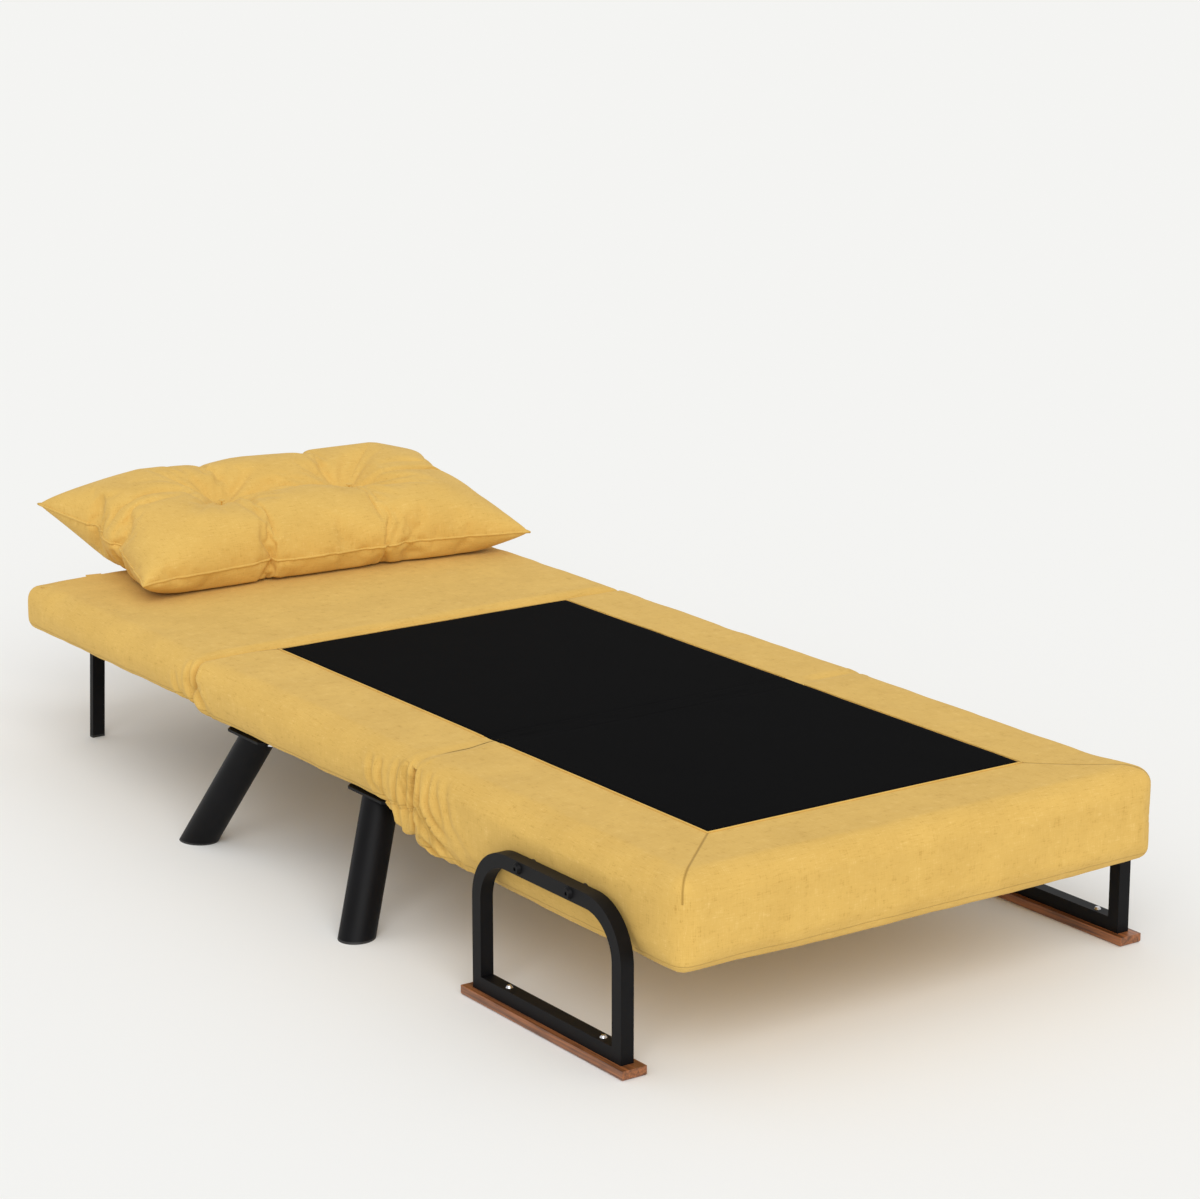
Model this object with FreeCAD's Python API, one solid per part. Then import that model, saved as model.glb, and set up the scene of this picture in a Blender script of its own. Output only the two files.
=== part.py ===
import FreeCAD, Part
import os
from math import acos, atan2, cos, exp, hypot, pi, radians, sin

V = FreeCAD.Vector

# Convertible chair bed, laid out flat as a single bed. Lengths are millimetres.
# While it is built, x = 0 is the middle of the bed, y = 0 is its foot end, y grows towards
# the head and z = 0 is the floor. Each piece moves so that y = 0 is mid length when it is saved.
# The foot section turns 180 degrees up and over onto the seat section, where its steel loops
# become the armrests, and the back section tilts up on a toothed hinge at each side.

# The three upholstered sections
BED_WIDTH = 800.0
BED_HEIGHT = 280.0
FOOT_LENGTH = 622.25
BACK_LENGTH = 582.0
FOOT_DEPTH = 126.5
SEAT_DEPTH = 82.5
BACK_DEPTH = 72.5
FOLD_GAP = 1.5
TILT_GAP = 1.0
CROWN = 7.0
END_CROWN = 5.0
CROWN_CLEARANCE = 0.5
SEATING_CROWN = 8.0
SIDE_BULGE = 5.0
EDGE_ROUND = 14.0
FOOT_END_ROUND = 22.0
COVER_T = 2.0
PANEL_WIDTH = 534.0
PANEL_START = 124.0
PANEL_END_MARGIN = 26.0
DUST_MARGIN = 24.0

# Frames of square tube inside the sections, with elastic straps across them
FRAME_TUBE = 25.0
FRAME_WALL = 1.5
FRAME_INSET = 16.0
END_INSET = 22.0
SEAT_REAR_INSET = 13.5
FOOT_RAIL_DROP = 62.5
STRAP_WIDTH = 50.0
STRAP_T = 2.0
CROSS_STRAPS = 5
LONG_STRAPS = 3
FIT_GAP = 0.3
HOLE_CLEARANCE = 0.2
RUNNING_CLEARANCE = 0.05

# Two-pin links that let the foot section fold flat over the seat section
FOLD_RADIUS = 14.0
LINK_EYE_R = 8.0
CHEEK_EYE_R = 7.0
LINK_T = 5.0
LINK_X = 230.0
CHEEK_T = 4.0
CHEEK_GAP = 0.5
PIN_R = 4.0
PIN_HEAD_R = 6.5
PIN_HEAD_T = 2.5

# Toothed hinges between the seat section and the back section
TILT_RADIUS = 18.0
TILT_EYE_R = 8.0
PLATE_T = 5.0
PLATE_GAP = 0.5
TOOTH_TIP_R = 38.0
TOOTH_ROOT_R = 32.0
TOOTH_PITCH = 15.0
TOOTH_GAPS = 6
FIRST_GAP_ANGLE = -80.0
GAP_LEAD_AT_TIP = 8.8
GAP_TRAIL_AT_TIP = 4.2
GAP_HALF_AT_ROOT = 2.5
PAWL_PIVOT_R = 60.0
PAWL_PIVOT_ANGLE = -54.0
PAWL_EYE_R = 6.5
PAWL_PIN_R = 3.0
PAWL_RELEASE = 14.0
RATCHET_SEAT = 72.0
MOVING_SEAT = 64.0
PLATE_BOLT_R = 3.0
BOLT_REACH = 8.0

# Tube legs of the seat section
LEG_R = 26.5
LEG_WALL = 2.0
LEG_PLATE_T = 4.0
LEG_PLATE_WIDTH = 66.0
LEG_PLATE_LENGTH = 106.0
LEG_PLATE_CORNER = 8.0
LEG_PLATE_OUTSET = 13.0
LEG_CAP_T = 3.0
LEG_CAP_PLUG = 12.0
FRONT_FOOT_X = 443.0
FRONT_FOOT_SETBACK = 82.0
FRONT_TOP_SETBACK = 131.4
REAR_FOOT_X = 415.0
REAR_FOOT_SETBACK = 29.0
REAR_TOP_SETBACK = 142.5
LEG_TOP_OUTSET = 3.0
LEG_BOLT_R = 4.0
LEG_BOLT_SPACING = 88.0

# Steel loops and wooden skids, which are the armrests of the chair
LOOP_TUBE = 20.0
LOOP_WALL = 1.5
LOOP_LENGTH = 341.0
LOOP_START = 79.0
LOOP_ROUND = 78.0
LOOP_OFFSET = 14.0
SKID_T = 13.5
SKID_WIDTH = 38.0
SKID_OVERHANG = 16.0
SKID_EDGE = 3.5
ARM_BOLT_R = 4.0
ARM_BOLT_HEAD_R = 8.5
ARM_BOLT_HEAD_T = 4.5
ARM_BOLT_SPACING = 117.0
SPACER_R = 8.0
SKID_SCREW_R = 2.5
SKID_SCREW_HEAD_R = 5.0
SKID_SCREW_HEAD_T = 3.0
SKID_SCREW_SPACING = 216.0
SKID_SCREW_DEPTH = 9.0

# Folding support under the head end
SUPPORT_X = 289.0
SUPPORT_WIDTH = 22.0
SUPPORT_DEPTH = 11.0
SUPPORT_WALL = 1.2
SUPPORT_LEAN = 4.5
SUPPORT_AXLE_R = 8.0
SUPPORT_INSET = 39.0
SUPPORT_CAP_T = 4.0
SUPPORT_EYE_R = 12.0
SUPPORT_EAR_T = 5.0
SUPPORT_BASE_T = 3.0
SUPPORT_BRACKET_X = 200.0

# Loose pillow at the head end
PILLOW_WIDTH = 726.0
PILLOW_DEPTH = 424.0
PILLOW_RISE = 84.0
PILLOW_PULL = 16.0
PILLOW_SEAM = 3.0
PILLOW_SKIN = 2.0
PILLOW_X = 52.0
PILLOW_SETBACK = 77.0
PILLOW_SEAM_Z = 341.0
PILLOW_PITCH = 7.8
PILLOW_TURN = -3.5
TUFT_SPACING = 240.0
TUFT_SINK = 0.46
TUFT_SPREAD = 0.32
TIE_R = 1.2
TIE_BUTTON_R = 5.0
TIE_BUTTON_T = 1.5

# Fabric fold that hangs under the seat section's front edge
GUSSET_DROP = 23.0
GUSSET_LENGTH = 62.0

# Tabs on the head end
TAB_LENGTH = 26.0
TAB_WIDTH = 16.0
TAB_T = 1.6

# Heights and places that follow from the sizes above
half_width = BED_WIDTH / 2
slab_top = BED_HEIGHT - CROWN_CLEARANCE - CROWN
foot_bottom = slab_top - FOOT_DEPTH
seat_bottom = slab_top - SEAT_DEPTH
back_bottom = slab_top - BACK_DEPTH
fold_y = FOOT_LENGTH + FOLD_GAP / 2
seat_start = fold_y + FOLD_GAP / 2
seat_end = seat_start + FOOT_LENGTH
back_start = seat_end + TILT_GAP
back_end = back_start + BACK_LENGTH
rail_out = half_width - FRAME_INSET
rail_in = rail_out - FRAME_TUBE
back_rail_out = rail_out - PLATE_T - PLATE_GAP
back_rail_in = back_rail_out - FRAME_TUBE
foot_rail_z = slab_top - FOOT_RAIL_DROP - FRAME_TUBE / 2
seat_rail_z = seat_bottom + COVER_T
back_rail_z = back_bottom + COVER_T
foot_pin_y = fold_y - FOLD_RADIUS
seat_pin_y = fold_y + FOLD_RADIUS
fold_pin_z = BED_HEIGHT - FOLD_RADIUS
tilt_y = back_start + TILT_RADIUS
tilt_z = BED_HEIGHT - TILT_RADIUS
fold_round = FOLD_RADIUS - FOLD_GAP / 2
loop_mid_y = LOOP_START + LOOP_LENGTH / 2
loop_in = half_width + LOOP_OFFSET
loop_mid_x = loop_in + LOOP_TUBE / 2
loop_rail_z = foot_rail_z + FRAME_TUBE / 2
support_y = back_end - SUPPORT_INSET
support_z = back_bottom - SUPPORT_BASE_T - SUPPORT_EYE_R + 1.0
leg_plate_z = seat_bottom - LEG_PLATE_T
leg_top_x = (rail_out + rail_in) / 2 - LEG_TOP_OUTSET
front_foot_y = fold_y + FRONT_FOOT_SETBACK
front_top_y = fold_y + FRONT_TOP_SETBACK
rear_foot_y = seat_end - REAR_FOOT_SETBACK
rear_top_y = seat_end - REAR_TOP_SETBACK
pillow_y = back_end - PILLOW_SETBACK
pillow_far_y = (pillow_y + PILLOW_DEPTH / 2 * cos(radians(PILLOW_PITCH)) * cos(radians(PILLOW_TURN))
                - PILLOW_WIDTH / 2 * sin(radians(PILLOW_TURN)))
mid_y = pillow_far_y / 2

nodes = {}


def keep(name, *shapes):
    """Put one or more solids into a named node."""
    nodes.setdefault(name, []).extend(shapes)


def block(x0, x1, y0, y1, z0, z1):
    """Box between two corners."""
    return Part.makeBox(x1 - x0, y1 - y0, z1 - z0, V(x0, y0, z0))


def rod(start, direction, radius, length):
    """Round bar from a point along a direction."""
    return Part.makeCylinder(radius, length, start, direction)


def mirrored(shape):
    """The same piece on the other side of the bed."""
    return shape.mirror(V(0, 0, 0), V(1, 0, 0))


def both(name, shape):
    """Put a piece and its mirror image into one node."""
    keep(name, shape, mirrored(shape))


def pair(stem, shape):
    """Put a right-hand piece and its mirror image into two nodes."""
    keep(stem + "_right", shape)
    keep(stem + "_left", mirrored(shape))


def hollow_bar(x0, x1, y0, y1, z0, z1, along, wall):
    """Rectangular tube, open at both ends."""
    outer = block(x0, x1, y0, y1, z0, z1)
    dx = 0.0 if along == "x" else wall
    dy = 0.0 if along == "y" else wall
    dz = 0.0 if along == "z" else wall
    return outer.cut(block(x0 + dx, x1 - dx, y0 + dy, y1 - dy, z0 + dz, z1 - dz))


def polar(y, z, radius, angle):
    """Point at a radius and an angle in degrees from +y towards +z."""
    return (y + radius * cos(radians(angle)), z + radius * sin(radians(angle)))


def side_plate(points, x0, thickness):
    """Flat plate with a straight-sided outline in the y-z plane."""
    wire = Part.makePolygon([V(x0, y, z) for y, z in points + points[:1]])
    return Part.Face(wire).extrude(V(thickness, 0, 0))


def touch_point(y, z, eye_y, eye_z, radius, side):
    """Where a line from a point just touches a circle, on its left (+1) or right (-1)."""
    reach = hypot(y - eye_y, z - eye_z)
    angle = atan2(z - eye_z, y - eye_y) + side * acos(radius / reach)
    return (eye_y + radius * cos(angle), eye_z + radius * sin(angle))


def eye_plate(base_a, base_b, eye_y, eye_z, radius, x0, thickness):
    """Plate from a straight base to a round eye, drawn anticlockwise as seen from -x to +x."""
    touch_a = touch_point(base_a[0], base_a[1], eye_y, eye_z, radius, 1)
    touch_b = touch_point(base_b[0], base_b[1], eye_y, eye_z, radius, -1)
    base_mid = ((base_a[0] + base_b[0]) / 2, (base_a[1] + base_b[1]) / 2)
    away = atan2(eye_z - base_mid[1], eye_y - base_mid[0])
    crest = (eye_y + radius * cos(away), eye_z + radius * sin(away))
    p = [V(x0, y, z) for y, z in (base_a, touch_a, crest, touch_b, base_b)]
    edges = [
        Part.LineSegment(p[0], p[1]).toShape(),
        Part.Arc(p[1], p[2], p[3]).toShape(),
        Part.LineSegment(p[3], p[4]).toShape(),
        Part.LineSegment(p[4], p[0]).toShape(),
    ]
    return Part.Face(Part.Wire(edges)).extrude(V(thickness, 0, 0))


def headed_pin(x0, x1, y, z, radius, head_r, head_t):
    """Pin across the bed from x0 to x1, with a rivet head outside each end."""
    shank = rod(V(x0, y, z), V(1, 0, 0), radius, x1 - x0)
    near = rod(V(x0 - head_t, y, z), V(1, 0, 0), head_r, head_t)
    far = rod(V(x1, y, z), V(1, 0, 0), head_r, head_t)
    return shank.fuse([near, far]).removeSplitter()


def hexagon(centre, direction, across_flats, length):
    """Hexagonal prism along +x, -x or +z."""
    radius = across_flats / 2 / cos(pi / 6)
    ring = []
    for i in range(7):
        a = i * pi / 3
        if direction.z:
            ring.append(centre + V(radius * cos(a), radius * sin(a), 0))
        else:
            ring.append(centre + V(0, radius * cos(a), radius * sin(a)))
    return Part.Face(Part.makePolygon(ring)).extrude(direction * length)


def section_wire(y, half, bottom, top, crown, belly, bulge, corner):
    """Closed outline of a cushion across the bed: crowned top and belly, bulging sides."""
    mid = (top + bottom) / 2
    bow = corner * (1 - cos(pi / 4))
    points = [
        (-half + corner, top), (half - corner, top), (half, top - corner), (half, bottom + corner),
        (half - corner, bottom), (-half + corner, bottom), (-half, bottom + corner),
        (-half, top - corner),
    ]
    through = [
        (0, top + crown), (half - bow, top - bow), (half + bulge, mid), (half - bow, bottom + bow),
        (0, bottom - belly), (-half + bow, bottom + bow), (-half - bulge, mid),
        (-half + bow, top - bow),
    ]
    edges = []
    for i, (tx, tz) in enumerate(through):
        x0, z0 = points[i]
        x1, z1 = points[(i + 1) % len(points)]
        if i == 4 and belly == 0:
            edges.append(Part.LineSegment(V(x0, y, z0), V(x1, y, z1)).toShape())
        else:
            edges.append(Part.Arc(V(x0, y, z0), V(tx, y, tz), V(x1, y, z1)).toShape())
    return Part.Wire(edges)


def end_steps(radius, angles):
    """Distance from the end and inset of the outline, round a quarter circle."""
    return [(radius * (1 - sin(radians(a))), radius * (1 - cos(radians(a)))) for a in angles]


def core_wire(y, half, bottom, top, crown, belly, bulge, corner):
    """The same outline in straight lines, for the inside of the cover."""
    bow = corner * (1 - cos(pi / 4))
    run = half - corner
    quarter = [(half, (top + bottom) / 2 + 1), (half, top - corner), (half - bow, top - bow), (run, top)]
    quarter[0] = (half + bulge, (top + bottom) / 2)
    low = [(run, bottom), (half - bow, bottom + bow), (half, bottom + corner)]
    right = low + quarter + [(run / 2, top + 0.75 * crown)]
    left = [(-x, z) for x, z in reversed(right)]
    under = [(0, bottom - belly)] if belly else []
    ring = [V(x, y, z) for x, z in right + [(0, top + crown)] + left + under]
    return Part.makePolygon(ring + ring[:1])


def cushion(y0, y1, bottom, belly, round0, round1, inset, wire, angles):
    """Crowned cushion with rounded ends. Inset gives the same form further in."""
    start = y0 + inset
    end = y1 - inset
    stations = [(start + d, e) for d, e in end_steps(round0 - inset, angles)]
    far = [(end - d, e) for d, e in reversed(end_steps(round1 - inset, angles))]
    stations += [((stations[-1][0] + far[0][0]) / 2, 0.0)] + far
    wires = []
    for y, e in stations:
        u = (2 * y - start - end) / (end - start)
        arch = 1 - u * u
        wires.append(wire(
            y, half_width - inset - e, bottom + inset + e, slab_top - inset - e,
            END_CROWN + (CROWN - END_CROWN) * arch, belly * (0.4 + 0.6 * arch),
            SIDE_BULGE * (0.3 + 0.7 * arch), EDGE_ROUND - inset / 2))
    return Part.makeLoft(wires, True, True)


def skin_and_core(y0, y1, bottom, belly, round0, round1):
    """Outer form of a cushion and the form inside its cover."""
    outer = cushion(y0, y1, bottom, belly, round0, round1, 0, section_wire, (90, 60, 30, 0))
    core = cushion(y0, y1, bottom, belly, round0, round1, COVER_T, core_wire, (90, 60, 30, 0))
    return outer, core


def between(shape, z0, z1):
    """The part of a form between two heights."""
    reach = 2 * BED_WIDTH
    return shape.common(block(-reach, reach, -reach, 2 * reach, z0, z1))


def straps(name, y0, y1, z, layer_down, half, lines):
    """Elastic straps across and along a frame, the long ones on the other side of the wide ones."""
    pitch = (y1 - y0) / CROSS_STRAPS
    for i in range(CROSS_STRAPS):
        mid = y0 + pitch * (i + 0.5)
        keep(name, block(-half, half, mid - STRAP_WIDTH / 2, mid + STRAP_WIDTH / 2, z, z + STRAP_T))
    z_long = z - STRAP_T if layer_down else z + STRAP_T
    for i in range(lines):
        x = half * (2.0 * (i + 1) / (lines + 1) - 1)
        keep(name, block(x - STRAP_WIDTH / 2, x + STRAP_WIDTH / 2, y0, y1, z_long, z_long + STRAP_T))


def edge_pads(name, form, frame_half, y0, y1, z0, z1, cutters):
    """Foam strips between a frame's outside and the inside of its cover."""
    band = between(form, z0, z1)
    far = 2 * BED_WIDTH
    zones = [
        block(-far, -frame_half, -far, 2 * far, z0, z1),
        block(frame_half, far, -far, 2 * far, z0, z1),
        block(-frame_half, frame_half, -far, y0, z0, z1),
        block(-frame_half, frame_half, y1, 2 * far, z0, z1),
    ]
    for zone in zones:
        strip = band.common(zone)
        if cutters:
            strip = strip.cut(cutters)
        keep(name, *strip.Solids)


# Inner and outer forms of the three cushions
foot_outer, foot_inner = skin_and_core(0, FOOT_LENGTH, foot_bottom, SEATING_CROWN, FOOT_END_ROUND, fold_round)
seat_outer, seat_inner = skin_and_core(seat_start, seat_end, seat_bottom, 0, fold_round, fold_round)
back_outer, back_inner = skin_and_core(back_start, back_end, back_bottom, 0, TILT_RADIUS, TILT_RADIUS)

foot_frame_y0 = END_INSET
foot_frame_y1 = FOOT_LENGTH - END_INSET
seat_frame_y0 = seat_start + END_INSET
seat_frame_y1 = seat_end - SEAT_REAR_INSET
back_frame_y0 = tilt_y + PAWL_PIVOT_R
back_frame_y1 = back_end - TILT_RADIUS
panel_half = PANEL_WIDTH / 2
clevis_half = LINK_T / 2 + CHEEK_GAP + CHEEK_T


def make_fold_links():
    """Clevis on each frame, a two-eyed link between them, and the pins."""
    for name, pins, frame_y, rail_top, eye_y, way in (
        ("seat_hinge_brackets", "seat_pins", seat_frame_y0, seat_rail_z + FRAME_TUBE,
         seat_pin_y, 1),
        ("foot_hinge_brackets", "foot_pins", foot_frame_y1, foot_rail_z + FRAME_TUBE,
         foot_pin_y, -1),
    ):
        near = (frame_y, rail_top)
        far = (frame_y + way * FRAME_TUBE, rail_top)
        base = (far, near) if way > 0 else (near, far)
        for side in (-1, 1):
            x_mid = side * LINK_X
            bracket = block(x_mid - clevis_half, x_mid + clevis_half, min(near[0], far[0]),
                            max(near[0], far[0]), rail_top, rail_top + CHEEK_T)
            for x0 in (x_mid - clevis_half, x_mid + clevis_half - CHEEK_T):
                cheek = eye_plate(base[0], base[1], eye_y, fold_pin_z, CHEEK_EYE_R, x0, CHEEK_T)
                bracket = bracket.fuse(cheek)
            bore = rod(V(x_mid - BED_WIDTH / 8, eye_y, fold_pin_z), V(1, 0, 0),
                       PIN_R + RUNNING_CLEARANCE, BED_WIDTH / 4)
            keep(name, bracket.cut(bore).removeSplitter())
            keep(pins, headed_pin(x_mid - clevis_half - CHEEK_GAP, x_mid + clevis_half + CHEEK_GAP,
                                  eye_y, fold_pin_z, PIN_R, PIN_HEAD_R, PIN_HEAD_T))
    for side in (-1, 1):
        x0 = side * LINK_X - LINK_T / 2
        bar = block(x0, x0 + LINK_T, foot_pin_y, seat_pin_y, fold_pin_z - LINK_EYE_R,
                    fold_pin_z + LINK_EYE_R)
        for eye_y in (foot_pin_y, seat_pin_y):
            bar = bar.fuse(rod(V(x0, eye_y, fold_pin_z), V(1, 0, 0), LINK_EYE_R, LINK_T))
        for eye_y in (foot_pin_y, seat_pin_y):
            bar = bar.cut(rod(V(x0, eye_y, fold_pin_z), V(1, 0, 0), PIN_R + RUNNING_CLEARANCE, LINK_T))
        keep("fold_links", bar.removeSplitter())


def link_pockets(rail_top, toward):
    """Room in a section's foam for a clevis, and a narrower slot in its cover for the link."""
    reach = PIN_HEAD_T + CHEEK_GAP + 2.0
    deep = END_INSET + FRAME_TUBE + 1.0
    pockets = []
    slots = []
    for side in (-1, 1):
        x_mid = side * LINK_X
        y0, y1 = sorted((fold_y, fold_y + toward * deep))
        pockets.append(block(x_mid - clevis_half - reach, x_mid + clevis_half + reach, y0, y1,
                             rail_top - STRAP_T - FIT_GAP, BED_HEIGHT + CROWN))
        y0, y1 = sorted((fold_y, fold_y + toward * (FOLD_RADIUS + LINK_EYE_R + CHEEK_GAP)))
        slots.append(block(x_mid - LINK_T / 2 - CHEEK_GAP, x_mid + LINK_T / 2 + CHEEK_GAP, y0, y1,
                           fold_pin_z - LINK_EYE_R - CHEEK_GAP, BED_HEIGHT + CROWN))
    return pockets, slots


# Layers of the toothed hinge, measured outwards on the right-hand side
fixed_x = rail_in - PLATE_T
moving_x = fixed_x - PLATE_GAP - PLATE_T
pawl_y, pawl_z = polar(tilt_y, tilt_z, PAWL_PIVOT_R, PAWL_PIVOT_ANGLE)
arm_y0 = tilt_y - TILT_EYE_R
arm_y1 = tilt_y - 0.5
ratchet_y0 = seat_frame_y1 - RATCHET_SEAT
moving_y1 = back_frame_y0 + MOVING_SEAT
bar_top = seat_rail_z + FRAME_TUBE - 2.0
stud_r = 2.0
stop_top = 3.0


def make_ratchet():
    """Fixed toothed plate, moving plate with its pawl, pins, stop stud and springs."""
    # Fixed plate: a foot along the seat rail, an arm up to the pivot and a toothed quadrant
    teeth = [(tilt_y - 4.0, tilt_z - TILT_EYE_R), (tilt_y - 4.0, tilt_z - TOOTH_TIP_R)]
    for i in range(TOOTH_GAPS):
        mid = FIRST_GAP_ANGLE + i * TOOTH_PITCH
        teeth.append(polar(tilt_y, tilt_z, TOOTH_TIP_R, mid - GAP_LEAD_AT_TIP))
        teeth.append(polar(tilt_y, tilt_z, TOOTH_ROOT_R, mid - GAP_HALF_AT_ROOT))
        teeth.append(polar(tilt_y, tilt_z, TOOTH_ROOT_R, mid + GAP_HALF_AT_ROOT))
        teeth.append(polar(tilt_y, tilt_z, TOOTH_TIP_R, mid + GAP_TRAIL_AT_TIP))
    teeth.append((tilt_y + TOOTH_TIP_R - 0.2, tilt_z + stop_top))
    teeth.append((tilt_y, tilt_z + stop_top))
    quadrant = side_plate(teeth, fixed_x, PLATE_T)
    low = seat_rail_z + 2.0
    ell = side_plate([(ratchet_y0, low), (arm_y1, low), (arm_y1, tilt_z), (arm_y0, tilt_z),
                      (arm_y0, bar_top), (ratchet_y0, bar_top)], fixed_x, PLATE_T)
    eye = rod(V(fixed_x, tilt_y, tilt_z), V(1, 0, 0), TILT_EYE_R, PLATE_T)
    fixed = quadrant.fuse([ell, eye]).removeSplitter()
    inner_corner = [e for e in fixed.Edges if len(e.Vertexes) == 2
                    and abs(e.Vertexes[0].Y - arm_y0) < 0.01 and abs(e.Vertexes[1].Y - arm_y0) < 0.01
                    and abs(e.Vertexes[0].Z - bar_top) < 0.01 and abs(e.Vertexes[1].Z - bar_top) < 0.01]
    fixed = fixed.makeFillet(6.0, inner_corner)
    pin_hole = rod(V(moving_x, tilt_y, tilt_z), V(1, 0, 0), PIN_R + RUNNING_CLEARANCE, 3 * PLATE_T)
    bolt_ys = (ratchet_y0 + 14.0, seat_frame_y1 - 14.0)
    bolt_z = seat_rail_z + FRAME_TUBE / 2
    holes = [rod(V(fixed_x - 1, y, bolt_z), V(1, 0, 0), PLATE_BOLT_R + HOLE_CLEARANCE, PLATE_T + 2)
             for y in bolt_ys]
    both("ratchet_plates", fixed.cut([pin_hole] + holes))
    for y in bolt_ys:
        both("ratchet_bolts", plate_bolt(fixed_x, y, bolt_z, rail_in + BOLT_REACH))
    # Moving plate on the back frame's rail
    low = back_rail_z + 2.0
    high = back_rail_z + FRAME_TUBE - 1.0
    first = (tilt_y + 22.0, low)
    moving = eye_plate((moving_y1, high), first, tilt_y, tilt_z, TILT_EYE_R, moving_x, PLATE_T)
    moving = moving.fuse(side_plate([first, (moving_y1, low), (moving_y1, high)], moving_x, PLATE_T))
    stud_z = tilt_z + stop_top + stud_r + FIT_GAP
    stud = rod(V(moving_x + PLATE_T, tilt_y + 22.0, stud_z), V(1, 0, 0), stud_r, PLATE_T)
    anchor_y = pawl_y + 17.0
    anchor_z = low + 5.0
    anchor = rod(V(moving_x + PLATE_T, anchor_y, anchor_z), V(1, 0, 0), 2.5, PLATE_T)
    crest = tilt_z + TILT_EYE_R
    shoulder = side_plate([(tilt_y, crest), (tilt_y, tilt_z), (tilt_y + 50.0, tilt_z - 12.0),
                           (tilt_y + 28.0, crest)], moving_x, PLATE_T)
    moving = moving.fuse([shoulder, stud, anchor]).removeSplitter()
    pawl_hole = rod(V(moving_x, pawl_y, pawl_z), V(1, 0, 0), PAWL_PIN_R + RUNNING_CLEARANCE, 3 * PLATE_T)
    back_bolt_ys = (back_frame_y0 + 14.0, moving_y1 - 14.0)
    back_bolt_z = back_rail_z + FRAME_TUBE / 2
    holes = [rod(V(moving_x - 1, y, back_bolt_z), V(1, 0, 0), PLATE_BOLT_R + HOLE_CLEARANCE, PLATE_T + 2)
             for y in back_bolt_ys]
    both("tilt_plates", moving.cut([pin_hole, pawl_hole] + holes))
    for y in back_bolt_ys:
        both("back_bolts", plate_bolt(moving_x, y, back_bolt_z, back_rail_in + BOLT_REACH))
    # Pivot pin and pawl pin
    pin = headed_pin(moving_x - 0.2, fixed_x + PLATE_T + 0.2, tilt_y, tilt_z, PIN_R, PIN_HEAD_R, PIN_HEAD_T)
    both("seat_pins", pin)
    pawl_pin = headed_pin(moving_x - 0.2, fixed_x + PLATE_T + 0.2, pawl_y, pawl_z, PAWL_PIN_R, 4.8, 2.0)
    both("pawl_pins", pawl_pin)
    # Pawl, drawn engaged in the first gap and then turned off the teeth
    outline = [
        polar(tilt_y, tilt_z, TOOTH_ROOT_R + 1.0, FIRST_GAP_ANGLE - 1.6),
        polar(tilt_y, tilt_z, TOOTH_ROOT_R + 1.0, FIRST_GAP_ANGLE + 1.6),
        polar(tilt_y, tilt_z, TOOTH_TIP_R + 1.5, FIRST_GAP_ANGLE + 3.6),
    ]
    top_touch = touch_point(outline[2][0], outline[2][1], pawl_y, pawl_z, PAWL_EYE_R, -1)
    heel = polar(tilt_y, tilt_z, TOOTH_TIP_R + 6.5, FIRST_GAP_ANGLE - 2.5)
    low_touch = touch_point(heel[0], heel[1], pawl_y, pawl_z, PAWL_EYE_R, 1)
    outline += [top_touch, low_touch, heel]
    pawl = side_plate(outline, fixed_x, PLATE_T)
    pawl = pawl.fuse(rod(V(fixed_x, pawl_y, pawl_z), V(1, 0, 0), PAWL_EYE_R, PLATE_T))
    pawl = pawl.cut(rod(V(fixed_x, pawl_y, pawl_z), V(1, 0, 0), PAWL_PIN_R + RUNNING_CLEARANCE, PLATE_T))
    pawl = pawl.removeSplitter()
    pawl.rotate(V(0, pawl_y, pawl_z), V(1, 0, 0), PAWL_RELEASE)
    pair("pawl", pawl)
    # Leaf spring from the anchor stud to the underside of the pawl
    leaf_z = anchor_z - 2.5 - FIT_GAP - 0.8
    leaf = block(fixed_x + 0.5, fixed_x + PLATE_T - 0.5, pawl_y - 20.0, anchor_y + 3.0, leaf_z, leaf_z + 0.8)
    hook = block(fixed_x + 0.5, fixed_x + PLATE_T - 0.5, anchor_y + 2.8, anchor_y + 3.6, leaf_z,
                 anchor_z + 2.5)
    both("pawl_springs", leaf.fuse(hook).removeSplitter())


def plate_bolt(plate_x, y, z, end_x):
    """Bolt through a hinge plate into the threaded inner wall of a rail, towards +x."""
    shank = rod(V(plate_x, y, z), V(1, 0, 0), PLATE_BOLT_R, end_x - plate_x)
    head = hexagon(V(plate_x - 3.0, y, z), V(1, 0, 0), PLATE_BOLT_R * 3.3, 3.0)
    return shank.fuse(head).removeSplitter()


def hinge_slot(form_z0):
    """Room in the back section's foam and cover for the two hinge plates and the pawl."""
    slots = []
    for side in (-1, 1):
        x0, x1 = sorted((side * (moving_x - PIN_HEAD_T - 1.5), side * (fixed_x + PLATE_T + PIN_HEAD_T + 1.5)))
        slots.append(block(x0, x1, back_start - 5.0, moving_y1 + 2.0, form_z0, tilt_z + TILT_EYE_R + FIT_GAP))
    return slots


def dust_panel(y0, y1, bottom):
    """Zone of the underside that the thin dust cover closes."""
    half = half_width - FRAME_INSET - DUST_MARGIN
    return block(-half, half, y0 + DUST_MARGIN, y1 - DUST_MARGIN, bottom - 5, bottom + COVER_T + 5)


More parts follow.
